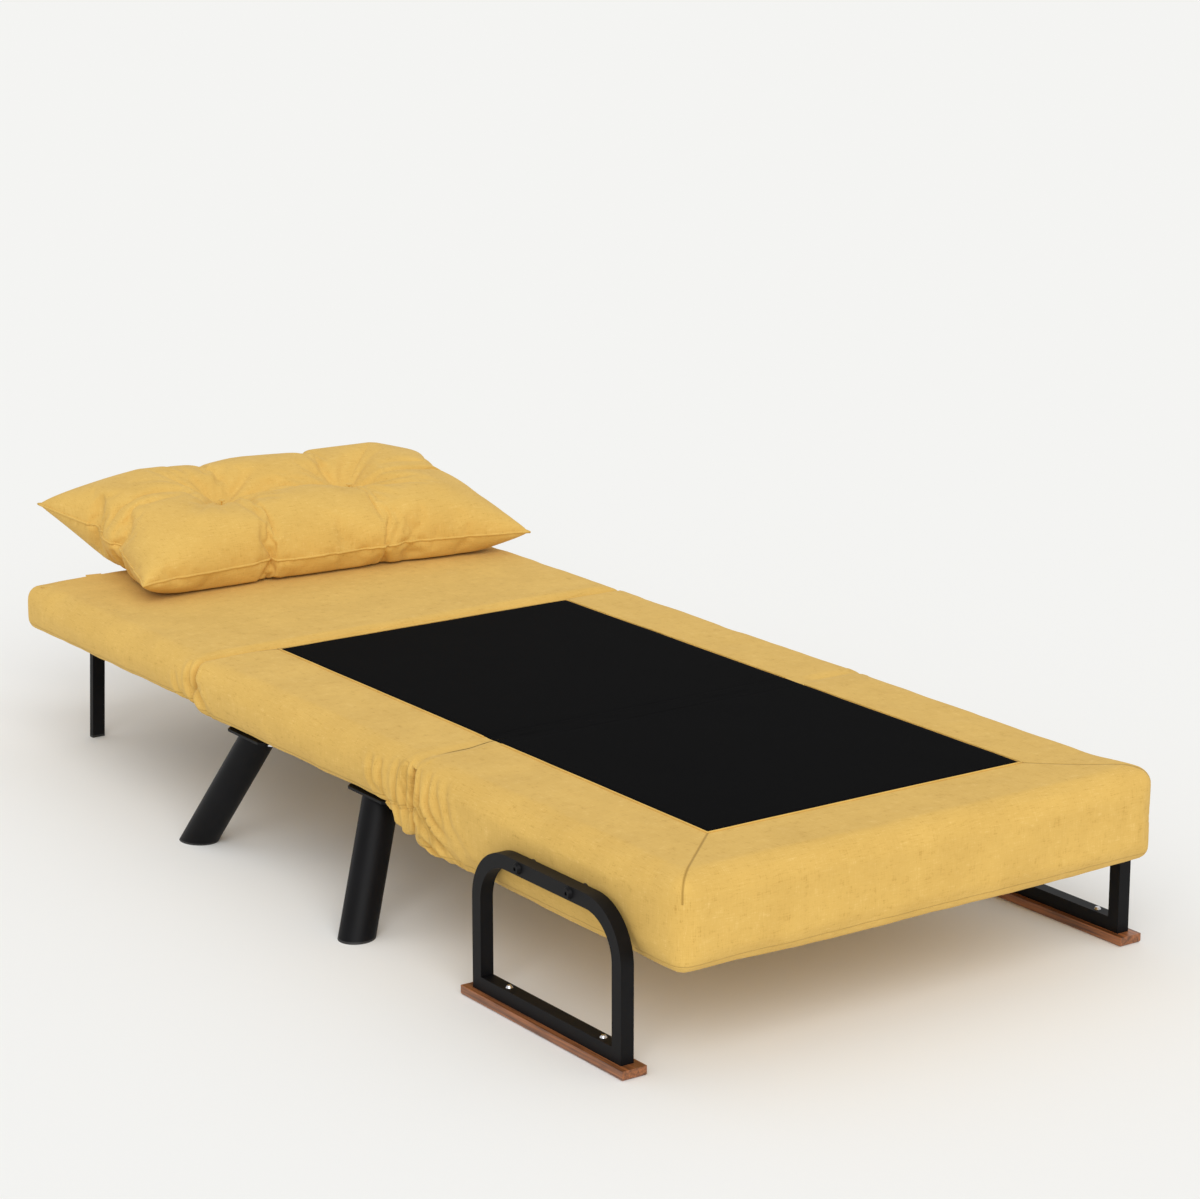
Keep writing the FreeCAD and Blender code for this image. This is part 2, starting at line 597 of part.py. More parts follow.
def make_seat():
    """Seat section: frame, straps, foam, cover, panel, dust cover, legs."""
    z0 = seat_rail_z
    z1 = z0 + FRAME_TUBE
    leg_ys = (front_top_y, rear_top_y)
    leg_holes = []
    for top_y in leg_ys:
        for way in (-1, 1):
            leg_holes.append((rail_in + FRAME_TUBE / 2, top_y + way * LEG_BOLT_SPACING / 2))
    rail = hollow_bar(rail_in, rail_out, seat_frame_y0, seat_frame_y1, z0, z1, "y", FRAME_WALL)
    leg_bores = [rod(V(x, y, leg_plate_z - 1), V(0, 0, 1), LEG_BOLT_R + HOLE_CLEARANCE,
                     LEG_PLATE_T + COVER_T + FRAME_WALL + 2) for x, y in leg_holes]
    side_bores = [rod(V(fixed_x, y, z0 + FRAME_TUBE / 2), V(1, 0, 0), PLATE_BOLT_R + HOLE_CLEARANCE,
                      PLATE_T + BOLT_REACH)
                  for y in (ratchet_y0 + 14.0, seat_frame_y1 - 14.0)]
    both("seat_side_rails", rail.cut(leg_bores + side_bores))
    rear_rail_y = ratchet_y0 - FRAME_TUBE - 4.0
    middle_y = (seat_frame_y0 + rear_rail_y) / 2
    for y in (seat_frame_y0, middle_y, rear_rail_y):
        keep("seat_cross_rails",
             hollow_bar(-rail_in, rail_in, y, y + FRAME_TUBE, z0, z1, "x", FRAME_WALL))
    straps("seat_straps", seat_frame_y0 + FRAME_TUBE, seat_frame_y1, z1, False, rail_out, 0)
    pockets, slots = link_pockets(z1, 1)
    foam = between(seat_inner, z1 + STRAP_T, BED_HEIGHT + CROWN).cut(pockets)
    keep("seat_foam", *foam.Solids)
    ratchet_room = [block(s * rail_in - PLATE_T - 2 if s > 0 else -rail_in - 1,
                          rail_in + 1 if s > 0 else -rail_in + PLATE_T + 2,
                          seat_frame_y1 - 1, seat_end + 5, z0 - 5, z1 + STRAP_T) for s in (-1, 1)]
    edge_pads("seat_edge_pads", seat_inner, rail_out, seat_frame_y0, seat_frame_y1, z0, z1 + STRAP_T,
              ratchet_room + pockets)
    shell = seat_outer.cut(seat_inner)
    panel_zone = block(-panel_half, panel_half, seat_start - 5, seat_end - PANEL_END_MARGIN,
                       slab_top - fold_round, BED_HEIGHT + CROWN)
    dust_zone = dust_panel(seat_start, seat_end, seat_bottom)
    keep("seat_lining", *shell.common(panel_zone).cut(slots).Solids)
    keep("seat_dust_cover", *shell.common(dust_zone).Solids)
    plate_exit = [block(min(s * (fixed_x - 1), s * (rail_in + 1)), max(s * (fixed_x - 1), s * (rail_in + 1)),
                        seat_end - COVER_T - 20, seat_end + 5, z0 + 1, bar_top + 1) for s in (-1, 1)]
    holes = leg_bores + [mirrored(b) for b in leg_bores]
    keep("seat_cover", shell.cut([panel_zone, dust_zone] + holes + plate_exit + slots))
    make_legs(leg_holes)
    # Fold of spare cover that hangs where the foot section meets the seat section
    keep("fold_gusset", hanging_fold())


def hanging_fold():
    """Closed pouch of fabric under the front edge of the seat section."""
    stations = ((0.0, 0.55), (0.12, 0.86), (0.35, 1.0), (0.6, 0.72), (0.82, 0.34), (1.0, 0.08))
    wires = []
    for share, drop in stations:
        y = seat_start + fold_round + share * GUSSET_LENGTH
        half = half_width - EDGE_ROUND
        top = seat_bottom - FIT_GAP
        low = top - drop * GUSSET_DROP
        p = [V(-half, y, top), V(half, y, top), V(half - 2, y, low), V(0, y, low + 0.35 * (top - low)),
             V(-half + 2, y, low)]
        edges = [
            Part.LineSegment(p[0], p[1]).toShape(),
            Part.LineSegment(p[1], p[2]).toShape(),
            Part.Arc(p[2], p[3], p[4]).toShape(),
            Part.LineSegment(p[4], p[0]).toShape(),
        ]
        wires.append(Part.Wire(edges))
    return Part.makeLoft(wires, True, True)


def slanted(foot_x, foot_y, top_x, top_y, radius, z0, z1):
    """Round bar along the line from a leg's foot to its top, cut level at two heights."""
    run = V(top_x - foot_x, top_y - foot_y, leg_plate_z)
    start = V(foot_x, foot_y, 0) - run * 0.5
    bar = rod(start, run, radius, run.Length * 2)
    reach = 4 * radius
    mid_x = (foot_x + top_x) / 2
    centre_y = (foot_y + top_y) / 2
    span = abs(top_y - foot_y) / 2 + reach
    return bar.common(block(mid_x - 2 * reach, mid_x + 2 * reach, centre_y - span, centre_y + span, z0, z1))


def make_legs(leg_holes):
    """Four splayed tube legs with plates, bolts, nuts and floor caps."""
    for stem, foot_x, foot_y, top_y in (
        ("front_leg", FRONT_FOOT_X, front_foot_y, front_top_y),
        ("rear_leg", REAR_FOOT_X, rear_foot_y, rear_top_y),
    ):
        line = (foot_x, foot_y, leg_top_x, top_y)
        tube = slanted(*line, LEG_R, LEG_CAP_T, leg_plate_z)
        bore = slanted(*line, LEG_R - LEG_WALL, LEG_CAP_T - 1, leg_plate_z + 1)
        pair(stem, tube.cut(bore))
        cap = slanted(*line, LEG_R, 0, LEG_CAP_T)
        plug = slanted(*line, LEG_R - LEG_WALL - HOLE_CLEARANCE, LEG_CAP_T / 2, LEG_CAP_T + LEG_CAP_PLUG)
        both("leg_caps", cap.fuse(plug).removeSplitter())
        plate_out = rail_out + LEG_PLATE_OUTSET
        plate = block(plate_out - LEG_PLATE_WIDTH, plate_out, top_y - LEG_PLATE_LENGTH / 2,
                      top_y + LEG_PLATE_LENGTH / 2, leg_plate_z, seat_bottom)
        corners = [e for e in plate.Edges if abs(e.Vertexes[0].Z - e.Vertexes[1].Z) > 1]
        plate = plate.makeChamfer(LEG_PLATE_CORNER, corners)
        bores = [rod(V(x, y, leg_plate_z - 1), V(0, 0, 1), LEG_BOLT_R + HOLE_CLEARANCE, LEG_PLATE_T + 2)
                 for x, y in leg_holes if abs(y - top_y) < LEG_PLATE_LENGTH / 2]
        both("leg_plates", plate.cut(bores))
    for x, y in leg_holes:
        head = hexagon(V(x, y, leg_plate_z - 5.0), V(0, 0, 1), 13.0, 5.0)
        shank = rod(V(x, y, leg_plate_z - 1), V(0, 0, 1), LEG_BOLT_R, LEG_PLATE_T + COVER_T + 12.0)
        both("leg_bolts", head.fuse(shank).removeSplitter())
        nut_z = seat_rail_z + FRAME_WALL
        nut = hexagon(V(x, y, nut_z), V(0, 0, 1), 13.0, 6.5)
        nut = nut.cut(rod(V(x, y, nut_z - 1), V(0, 0, 1), LEG_BOLT_R + RUNNING_CLEARANCE, 9.0))
        both("leg_nuts", nut)


def loop_outline(inset):
    """Closed outline of an armrest loop: square at the bottom, large bends at the top."""
    x = loop_in
    y0 = LOOP_START + inset
    y1 = LOOP_START + LOOP_LENGTH - inset
    z0 = SKID_T + inset
    z1 = loop_rail_z + LOOP_TUBE / 2 - inset
    r = LOOP_ROUND - inset
    bow = r * (1 - cos(pi / 4))
    edges = [
        Part.LineSegment(V(x, y0, z0), V(x, y0, z1 - r)).toShape(),
        Part.Arc(V(x, y0, z1 - r), V(x, y0 + bow, z1 - bow), V(x, y0 + r, z1)).toShape(),
        Part.LineSegment(V(x, y0 + r, z1), V(x, y1 - r, z1)).toShape(),
        Part.Arc(V(x, y1 - r, z1), V(x, y1 - bow, z1 - bow), V(x, y1, z1 - r)).toShape(),
        Part.LineSegment(V(x, y1, z1 - r), V(x, y1, z0)).toShape(),
        Part.LineSegment(V(x, y1, z0), V(x, y0, z0)).toShape(),
    ]
    return Part.Face(Part.Wire(edges))


def ring(inset_out, inset_in, x_in, width):
    """Flat ring between two outlines of the loop."""
    outer = loop_outline(inset_out).extrude(V(width, 0, 0))
    hole = loop_outline(inset_in).extrude(V(width, 0, 0))
    solid = outer.cut(hole)
    solid.translate(V(x_in, 0, 0))
    return solid


arm_bolt_ys = (loop_mid_y + 3.0 - ARM_BOLT_SPACING / 2, loop_mid_y + 3.0 + ARM_BOLT_SPACING / 2)
skid_screw_ys = (loop_mid_y - 10.5 - SKID_SCREW_SPACING / 2, loop_mid_y - 10.5 + SKID_SCREW_SPACING / 2)


def make_armrests():
    """Steel loop welded from lengths of tube, wooden skid, bolts with spacers and nuts, wood screws."""
    loop = ring(0, LOOP_TUBE, 0, LOOP_TUBE)
    loop = loop.cut(ring(LOOP_WALL, LOOP_TUBE - LOOP_WALL, LOOP_WALL, LOOP_TUBE - 2 * LOOP_WALL))
    bolt_bores = [rod(V(loop_in - 1, y, loop_rail_z), V(1, 0, 0), ARM_BOLT_R + HOLE_CLEARANCE, LOOP_TUBE + 2)
                  for y in arm_bolt_ys]
    screw_bores = [rod(V(loop_mid_x, y, SKID_T - 1), V(0, 0, 1), SKID_SCREW_R + HOLE_CLEARANCE, LOOP_TUBE + 2)
                   for y in skid_screw_ys]
    loop = loop.cut(bolt_bores + screw_bores)
    base_z = SKID_T + LOOP_TUBE
    bend_z = loop_rail_z + LOOP_TUBE / 2 - LOOP_ROUND
    bend_y0 = LOOP_START + LOOP_ROUND
    bend_y1 = LOOP_START + LOOP_LENGTH - LOOP_ROUND
    x0 = loop_in - 1
    x1 = loop_in + LOOP_TUBE + 1
    far = LOOP_START + LOOP_LENGTH + 1
    for y0, y1, z0, z1 in ((0, far, 0, base_z), (0, loop_mid_y, base_z, bend_z), (loop_mid_y, far, base_z, bend_z),
                           (0, bend_y0, bend_z, BED_HEIGHT), (bend_y0, bend_y1, bend_z, BED_HEIGHT),
                           (bend_y1, far, bend_z, BED_HEIGHT)):
        pair("armrest_loop", loop.common(block(x0, x1, y0, y1, z0, z1)))
    skid = block(loop_mid_x - SKID_WIDTH / 2, loop_mid_x + SKID_WIDTH / 2, LOOP_START - SKID_OVERHANG,
                 LOOP_START + LOOP_LENGTH + SKID_OVERHANG, 0, SKID_T)
    low_edges = [e for e in skid.Edges if e.Vertexes[0].Z < 1 and e.Vertexes[1].Z < 1]
    skid = skid.makeFillet(SKID_EDGE, low_edges)
    pilot = [rod(V(loop_mid_x, y, SKID_T - SKID_SCREW_DEPTH - 0.5), V(0, 0, 1),
                 SKID_SCREW_R + RUNNING_CLEARANCE, SKID_SCREW_DEPTH + 1) for y in skid_screw_ys]
    pair("armrest_skid", skid.cut(pilot))
    for y in skid_screw_ys:
        seat_z = SKID_T + LOOP_TUBE
        shank = rod(V(loop_mid_x, y, SKID_T - SKID_SCREW_DEPTH), V(0, 0, 1), SKID_SCREW_R,
                    LOOP_TUBE + SKID_SCREW_DEPTH)
        head = Part.makeCone(SKID_SCREW_HEAD_R, SKID_SCREW_HEAD_R * 0.62, SKID_SCREW_HEAD_T,
                             V(loop_mid_x, y, seat_z), V(0, 0, 1))
        both("skid_screws", shank.fuse(head).removeSplitter())
    for y in arm_bolt_ys:
        outer_x = loop_in + LOOP_TUBE
        head = Part.makeCone(ARM_BOLT_HEAD_R, ARM_BOLT_HEAD_R - 2.0, ARM_BOLT_HEAD_T,
                             V(outer_x, y, loop_rail_z), V(1, 0, 0))
        shank = rod(V(rail_in - 8.0, y, loop_rail_z), V(1, 0, 0), ARM_BOLT_R, outer_x - rail_in + 8.0)
        socket = hexagon(V(outer_x + ARM_BOLT_HEAD_T - 2.5, y, loop_rail_z), V(1, 0, 0), 5.0, 4.0)
        both("armrest_bolts", head.fuse(shank).removeSplitter().cut(socket))
        nut = hexagon(V(rail_in - 6.5, y, loop_rail_z), V(1, 0, 0), 13.0, 6.5)
        nut = nut.cut(rod(V(rail_in - 8, y, loop_rail_z), V(1, 0, 0), ARM_BOLT_R + RUNNING_CLEARANCE, 9.0))
        both("armrest_nuts", nut)
        sleeve = rod(V(rail_out, y, loop_rail_z), V(1, 0, 0), SPACER_R, loop_in - rail_out)
        sleeve = sleeve.cut(rod(V(rail_out - 1, y, loop_rail_z), V(1, 0, 0), ARM_BOLT_R + HOLE_CLEARANCE,
                                loop_in - rail_out + 2))
        both("armrest_spacers", sleeve)


def make_foot():
    """Foot section: frame, straps, two foams, cover, panel."""
    z0 = foot_rail_z
    z1 = z0 + FRAME_TUBE
    rail = hollow_bar(rail_in, rail_out, foot_frame_y0, foot_frame_y1, z0, z1, "y", FRAME_WALL)
    bolt_bores = [rod(V(rail_in - 1, y, loop_rail_z), V(1, 0, 0), ARM_BOLT_R + HOLE_CLEARANCE, FRAME_TUBE + 2)
                  for y in arm_bolt_ys]
    both("foot_side_rails", rail.cut(bolt_bores))
    middle_y = arm_bolt_ys[1] + FRAME_TUBE
    for y in (foot_frame_y0, middle_y, foot_frame_y1 - FRAME_TUBE):
        keep("foot_cross_rails",
             hollow_bar(-rail_in, rail_in, y, y + FRAME_TUBE, z0, z1, "x", FRAME_WALL))
    straps("foot_straps", foot_frame_y0, foot_frame_y1, z0 - STRAP_T, True, rail_out, LONG_STRAPS)
    pockets, slots = link_pockets(z1, -1)
    upper = between(foot_inner, z1, BED_HEIGHT + CROWN).cut(pockets)
    keep("foot_foam_upper", *upper.Solids)
    lower = between(foot_inner, 0, z0 - 2 * STRAP_T)
    keep("foot_foam_lower", *lower.Solids)
    spacer_room = [rod(V(s * (rail_out - 1), y, loop_rail_z), V(s, 0, 0), SPACER_R + FIT_GAP,
                       loop_in - rail_out) for s in (-1, 1) for y in arm_bolt_ys]
    edge_pads("foot_edge_pads", foot_inner, rail_out, foot_frame_y0, foot_frame_y1, z0 - 2 * STRAP_T, z1,
              spacer_room)
    shell = foot_outer.cut(foot_inner)
    panel_zone = block(-panel_half, panel_half, PANEL_START, FOOT_LENGTH + 5, slab_top - fold_round,
                       BED_HEIGHT + CROWN)
    keep("foot_lining", *shell.common(panel_zone).cut(slots).Solids)
    keep("foot_cover", shell.cut([panel_zone] + spacer_room + slots))


def make_back():
    """Back section: frame, straps, foam, cover, tabs and the folding support."""
    z0 = back_rail_z
    z1 = z0 + FRAME_TUBE
    rail = hollow_bar(back_rail_in, back_rail_out, back_frame_y0, back_frame_y1, z0, z1, "y", FRAME_WALL)
    side_bores = [rod(V(moving_x, y, z0 + FRAME_TUBE / 2), V(1, 0, 0), PLATE_BOLT_R + HOLE_CLEARANCE,
                      PLATE_T + BOLT_REACH)
                  for y in (back_frame_y0 + 14.0, moving_y1 - 14.0)]
    both("back_side_rails", rail.cut(side_bores))
    first_y = moving_y1 + 4.0
    last_y = support_y - FRAME_TUBE / 2
    base_bores = [rod(V(s * SUPPORT_BRACKET_X + dx, support_y, back_bottom - 5), V(0, 0, 1),
                      PLATE_BOLT_R + HOLE_CLEARANCE, 5 + COVER_T + FRAME_WALL + 1)
                  for s in (-1, 1) for dx in (-14.0, 14.0)]
    for y in (first_y, (first_y + last_y) / 2, last_y):
        tube = hollow_bar(-back_rail_in, back_rail_in, y, y + FRAME_TUBE, z0, z1, "x", FRAME_WALL)
        keep("back_cross_rails", tube.cut(base_bores) if y == last_y else tube)
    straps("back_straps", first_y, back_frame_y1, z1, False, back_rail_out, 0)
    room = hinge_slot(back_bottom - 5)
    foam = between(back_inner, z1 + STRAP_T, BED_HEIGHT + CROWN).cut(room)
    keep("back_foam", *foam.Solids)
    edge_pads("back_edge_pads", back_inner, back_rail_out, back_frame_y0, back_frame_y1, z0, z1 + STRAP_T,
              room)
    shell = back_outer.cut(back_inner)
    dust_zone = dust_panel(back_start, back_end, back_bottom)
    exits = []
    for s in (-1, 1):
        x0, x1 = sorted((s * (moving_x - 1), s * (fixed_x + PLATE_T + 1)))
        exits.append(block(x0, x1, back_start - 5, tilt_y + TOOTH_TIP_R + 8, back_bottom - 5,
                           tilt_z + TILT_EYE_R + FIT_GAP))
    keep("back_cover", shell.cut([dust_zone] + exits + base_bores))
    keep("back_dust_cover", *shell.common(dust_zone).cut(exits + base_bores).Solids)
    for x, y, turn in ((-371.0, back_end - 36.0, 20.0), (-282.0, back_end - 22.0, -10.0)):
        tab = block(-TAB_LENGTH / 2, TAB_LENGTH / 2, -TAB_WIDTH / 2, TAB_WIDTH / 2, 0, TAB_T)
        tab.rotate(V(0, 0, 0), V(0, 0, 1), turn)
        tab.translate(V(x, y, BED_HEIGHT + CROWN))
        drop = tab.distToShape(back_outer)[0]
        tab.translate(V(0, 0, FIT_GAP - drop))
        keep("back_tabs", tab)


def make_support():
    """Folding support: brackets under the head end, axle with two bars, floor caps."""
    for s in (-1, 1):
        x_mid = s * SUPPORT_BRACKET_X
        base = block(x_mid - 22, x_mid + 22, support_y - 12, support_y + 12, back_bottom - SUPPORT_BASE_T,
                     back_bottom)
        ear_z = back_bottom - SUPPORT_BASE_T
        ear = eye_plate((support_y - 12, ear_z), (support_y + 12, ear_z), support_y, support_z,
                        SUPPORT_EYE_R, x_mid - SUPPORT_EAR_T / 2, SUPPORT_EAR_T)
        bracket = base.fuse(ear).removeSplitter()
        bore = rod(V(x_mid - 30, support_y, support_z), V(1, 0, 0), SUPPORT_AXLE_R + RUNNING_CLEARANCE, 60)
        holes = [rod(V(x_mid + dx, support_y, back_bottom - 6), V(0, 0, 1), PLATE_BOLT_R + HOLE_CLEARANCE, 12)
                 for dx in (-14.0, 14.0)]
        keep("support_leg_brackets", bracket.cut([bore] + holes))
        for dx in (-14.0, 14.0):
            head = hexagon(V(x_mid + dx, support_y, back_bottom - SUPPORT_BASE_T - 2.5), V(0, 0, 1),
                           PLATE_BOLT_R * 3.3, 2.5)
            shank = rod(V(x_mid + dx, support_y, back_bottom - SUPPORT_BASE_T - 1), V(0, 0, 1),
                        PLATE_BOLT_R, SUPPORT_BASE_T + COVER_T + 5)
            keep("back_bolts", head.fuse(shank).removeSplitter())
    half = SUPPORT_X - SUPPORT_WIDTH / 2
    axle = rod(V(-half, support_y, support_z), V(1, 0, 0), SUPPORT_AXLE_R, 2 * half)
    axle = axle.cut(rod(V(-half, support_y, support_z), V(1, 0, 0), SUPPORT_AXLE_R - FRAME_WALL, 2 * half))
    reach = support_z / cos(radians(SUPPORT_LEAN)) + 20
    top = SUPPORT_AXLE_R + 1.0
    leg = axle
    for s in (-1, 1):
        x0 = s * SUPPORT_X - SUPPORT_WIDTH / 2
        x1 = x0 + SUPPORT_WIDTH
        y0 = support_y - SUPPORT_DEPTH / 2
        y1 = support_y + SUPPORT_DEPTH / 2
        bar = block(x0, x1, y0, y1, support_z - reach, support_z + top)
        bore = block(x0 + SUPPORT_WALL, x1 - SUPPORT_WALL, y0 + SUPPORT_WALL, y1 - SUPPORT_WALL,
                     support_z - reach, support_z - SUPPORT_AXLE_R - 3)
        plug = block(x0 + SUPPORT_WALL + 0.2, x1 - SUPPORT_WALL - 0.2, y0 + SUPPORT_WALL + 0.2,
                     y1 - SUPPORT_WALL - 0.2, support_z - reach, support_z - reach + 38)
        whole = block(x0, x1, y0, y1, support_z - reach, support_z)
        for piece in (bar, bore, plug, whole):
            piece.rotate(V(0, support_y, support_z), V(1, 0, 0), SUPPORT_LEAN)
        leg = leg.fuse(bar.cut(bore).common(block(x0 - 1, x1 + 1, support_y - 60, support_y + 80,
                                                  SUPPORT_CAP_T, BED_HEIGHT)))
        cap = whole.common(block(x0 - 1, x1 + 1, support_y - 60, support_y + 80, 0, SUPPORT_CAP_T))
        stem = plug.common(block(x0 - 1, x1 + 1, support_y - 60, support_y + 80, SUPPORT_CAP_T / 2,
                                 SUPPORT_CAP_T + 10))
        keep("support_leg_caps", cap.fuse(stem).removeSplitter())
    keep("support_leg", leg.removeSplitter())


def pillow_wire(x, depth, seam, rise, sink, steps):
    """Outline across the pillow in straight lines: a dome above with a dip at the tuft, a dome below."""
    points = []
    for way, dip in ((1, sink), (-1, 0.0)):
        for i in range(steps + 1):
            share = -way * cos(pi * i / steps)
            dome = (1 - min(abs(share), 1.0) ** 2.4) ** 0.62 * (1 - dip * exp(-(share / TUFT_SPREAD) ** 2))
            points.append(V(x, depth * share, way * (seam / 2 + (rise - seam / 2) * dome)))
    return Part.makePolygon(points + points[:1])


def pillow_form(inset, steps):
    """Pillow drawn in at its sides between the corners, pulled down at two tufts."""
    half = PILLOW_WIDTH / 2 - 4 * inset
    tuft = TUFT_SPACING / 2
    right = [tuft * 0.5, tuft, tuft * 1.5, half * 0.72, half * 0.88, half * 0.96, half]
    stations = [-x for x in reversed(right)] + [0.0] + right
    wires = []
    for x in stations:
        u = abs(x) / half
        fade = max(1 - u ** 2.6, 0.0) ** 0.55
        rise = max((PILLOW_RISE - inset) * fade, PILLOW_SEAM)
        pull = PILLOW_PULL * (1 - u * u)
        depth = PILLOW_DEPTH / 2 - pull - 4 * inset
        near = max(0.0, 1 - abs(abs(x) - tuft) / tuft) ** 1.5
        sink = TUFT_SINK * near if u < 0.8 else 0.0
        seam = PILLOW_SEAM if inset == 0 else PILLOW_SEAM / 3
        wires.append(pillow_wire(x, depth, seam, rise, sink, steps))
    return Part.makeLoft(wires, True, True)


def laid(shape):
    """Lean and turn a pillow piece onto the head end."""
    shape.rotate(V(0, 0, 0), V(1, 0, 0), PILLOW_PITCH)
    shape.rotate(V(0, 0, 0), V(0, 0, 1), PILLOW_TURN)
    shape.translate(V(PILLOW_X, pillow_y, PILLOW_SEAM_Z))
    return shape


def make_pillow():
    """Loose tufted pillow: cover, filling, ties and their buttons."""
    rest_z = BED_HEIGHT - CROWN_CLEARANCE + FIT_GAP
    reach = PILLOW_WIDTH
    above = block(-reach, reach, pillow_y - reach, pillow_y + reach, rest_z, rest_z + reach)
    above_skin = block(-reach, reach, pillow_y - reach, pillow_y + reach, rest_z + PILLOW_SKIN, rest_z + reach)
    outer = laid(pillow_form(0, 10)).common(above)
    inner = laid(pillow_form(PILLOW_SKIN, 6)).common(above_skin)
    top_z = PILLOW_RISE * (1 - TUFT_SINK)
    ties = []
    bores = []
    for s in (-1, 1):
        x = s * TUFT_SPACING / 2
        tie = rod(V(x, 0, -PILLOW_RISE), V(0, 0, 1), TIE_R, PILLOW_RISE + top_z + 2.0)
        button = rod(V(x, 0, top_z + FIT_GAP), V(0, 0, 1), TIE_BUTTON_R, TIE_BUTTON_T)
        ties.append(laid(tie.fuse(button).removeSplitter()).common(above_skin))
        bore = rod(V(x, 0, -PILLOW_RISE), V(0, 0, 1), TIE_R + HOLE_CLEARANCE, 3 * PILLOW_RISE)
        recess = rod(V(x, 0, top_z + FIT_GAP / 2), V(0, 0, 1), TIE_BUTTON_R + FIT_GAP, PILLOW_RISE)
        bores.append(laid(bore.fuse(recess)))
    shell = outer.cut(inner)
    keep("pillow_cover", shell.cut([b.common(above_skin) for b in bores]))
    keep("pillow_filling", *inner.cut(bores).Solids)
    keep("pillow_ties", *ties)


make_fold_links()
make_ratchet()
make_seat()
make_armrests()
make_foot()
make_back()
make_support()
make_pillow()

os.makedirs("parts", exist_ok=True)
for name, shapes in nodes.items():
    body = shapes[0] if len(shapes) == 1 else Part.makeCompound(shapes)
    body.translate(V(0, -mid_y, 0))
    body.exportStep("parts/" + name + ".step")
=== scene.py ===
from math import radians

import bpy
import numpy as np
from mathutils import Matrix, Vector, noise
from mathutils.bvhtree import BVHTree


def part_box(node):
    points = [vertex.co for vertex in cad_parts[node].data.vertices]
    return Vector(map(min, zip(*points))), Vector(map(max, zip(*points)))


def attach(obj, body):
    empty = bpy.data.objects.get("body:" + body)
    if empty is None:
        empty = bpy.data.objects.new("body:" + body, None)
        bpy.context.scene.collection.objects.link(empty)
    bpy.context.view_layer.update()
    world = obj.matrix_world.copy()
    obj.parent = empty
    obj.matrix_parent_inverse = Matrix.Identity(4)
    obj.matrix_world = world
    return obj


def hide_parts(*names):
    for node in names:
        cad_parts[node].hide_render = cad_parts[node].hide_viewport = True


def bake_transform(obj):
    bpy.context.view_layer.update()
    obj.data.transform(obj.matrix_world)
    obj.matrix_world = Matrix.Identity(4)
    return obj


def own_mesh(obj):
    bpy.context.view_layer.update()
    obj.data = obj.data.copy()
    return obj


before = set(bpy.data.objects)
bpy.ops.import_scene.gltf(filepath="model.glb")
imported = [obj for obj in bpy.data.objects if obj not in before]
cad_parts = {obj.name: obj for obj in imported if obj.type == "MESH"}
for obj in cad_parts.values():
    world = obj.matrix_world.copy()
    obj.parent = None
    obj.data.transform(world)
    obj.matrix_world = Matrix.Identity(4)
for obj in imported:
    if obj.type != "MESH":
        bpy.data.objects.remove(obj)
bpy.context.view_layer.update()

bl_info = {
    "name": "Chair bed looks",
    "version": (1, 0, 0),
    "blender": (4, 5, 0),
    "location": "View3D > Sidebar > Chair bed",
    "description": "Dresses the chair bed frame with upholstery, pillow, metal and wood finishes",
    "category": "Object",
}

# Places read from the frame. Along the bed, at(y) turns a distance from the foot end into a place.
foot_lo, foot_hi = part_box("foot_cover")
seat_lo, seat_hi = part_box("seat_cover")
back_lo, back_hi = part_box("back_cover")
pillow_lo, pillow_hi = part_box("pillow_cover")
gusset_lo, gusset_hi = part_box("fold_gusset")
foot_end = foot_lo.y
half_width = 0.400
slab_top = 0.2725


def at(y):
    """Place along the bed of a distance from the foot end."""
    return foot_end + y


fold_y = 0.623
panel_half = 0.267
panel_start = 0.124
panel_end = 1.220


class ChairBedSizes(bpy.types.PropertyGroup):
    """Sizes of the soft pieces that a user may change"""
    cell: bpy.props.FloatProperty(name="Mesh cell", description="Size of the even quads of the cushions",
                                  default=0.0052, subtype="DISTANCE", unit="LENGTH")
    crown: bpy.props.FloatProperty(name="Crown", description="Rise of a cushion's middle above its edges",
                                   default=0.007, subtype="DISTANCE", unit="LENGTH")
    bulge: bpy.props.FloatProperty(name="Side bulge", description="How far the long sides stand out",
                                   default=0.005, subtype="DISTANCE", unit="LENGTH")
    welt: bpy.props.FloatProperty(name="Welt radius", description="Radius of the rolled edge round the black panel",
                                  default=0.0015, subtype="DISTANCE", unit="LENGTH")
    crease: bpy.props.FloatProperty(name="Crease depth", description="Depth of the gathers beside the fold",
                                    default=0.0078, subtype="DISTANCE", unit="LENGTH")
    pillow_pressure: bpy.props.FloatProperty(name="Pillow pressure", description="Air pressure in the pillow",
                                             default=7.0)


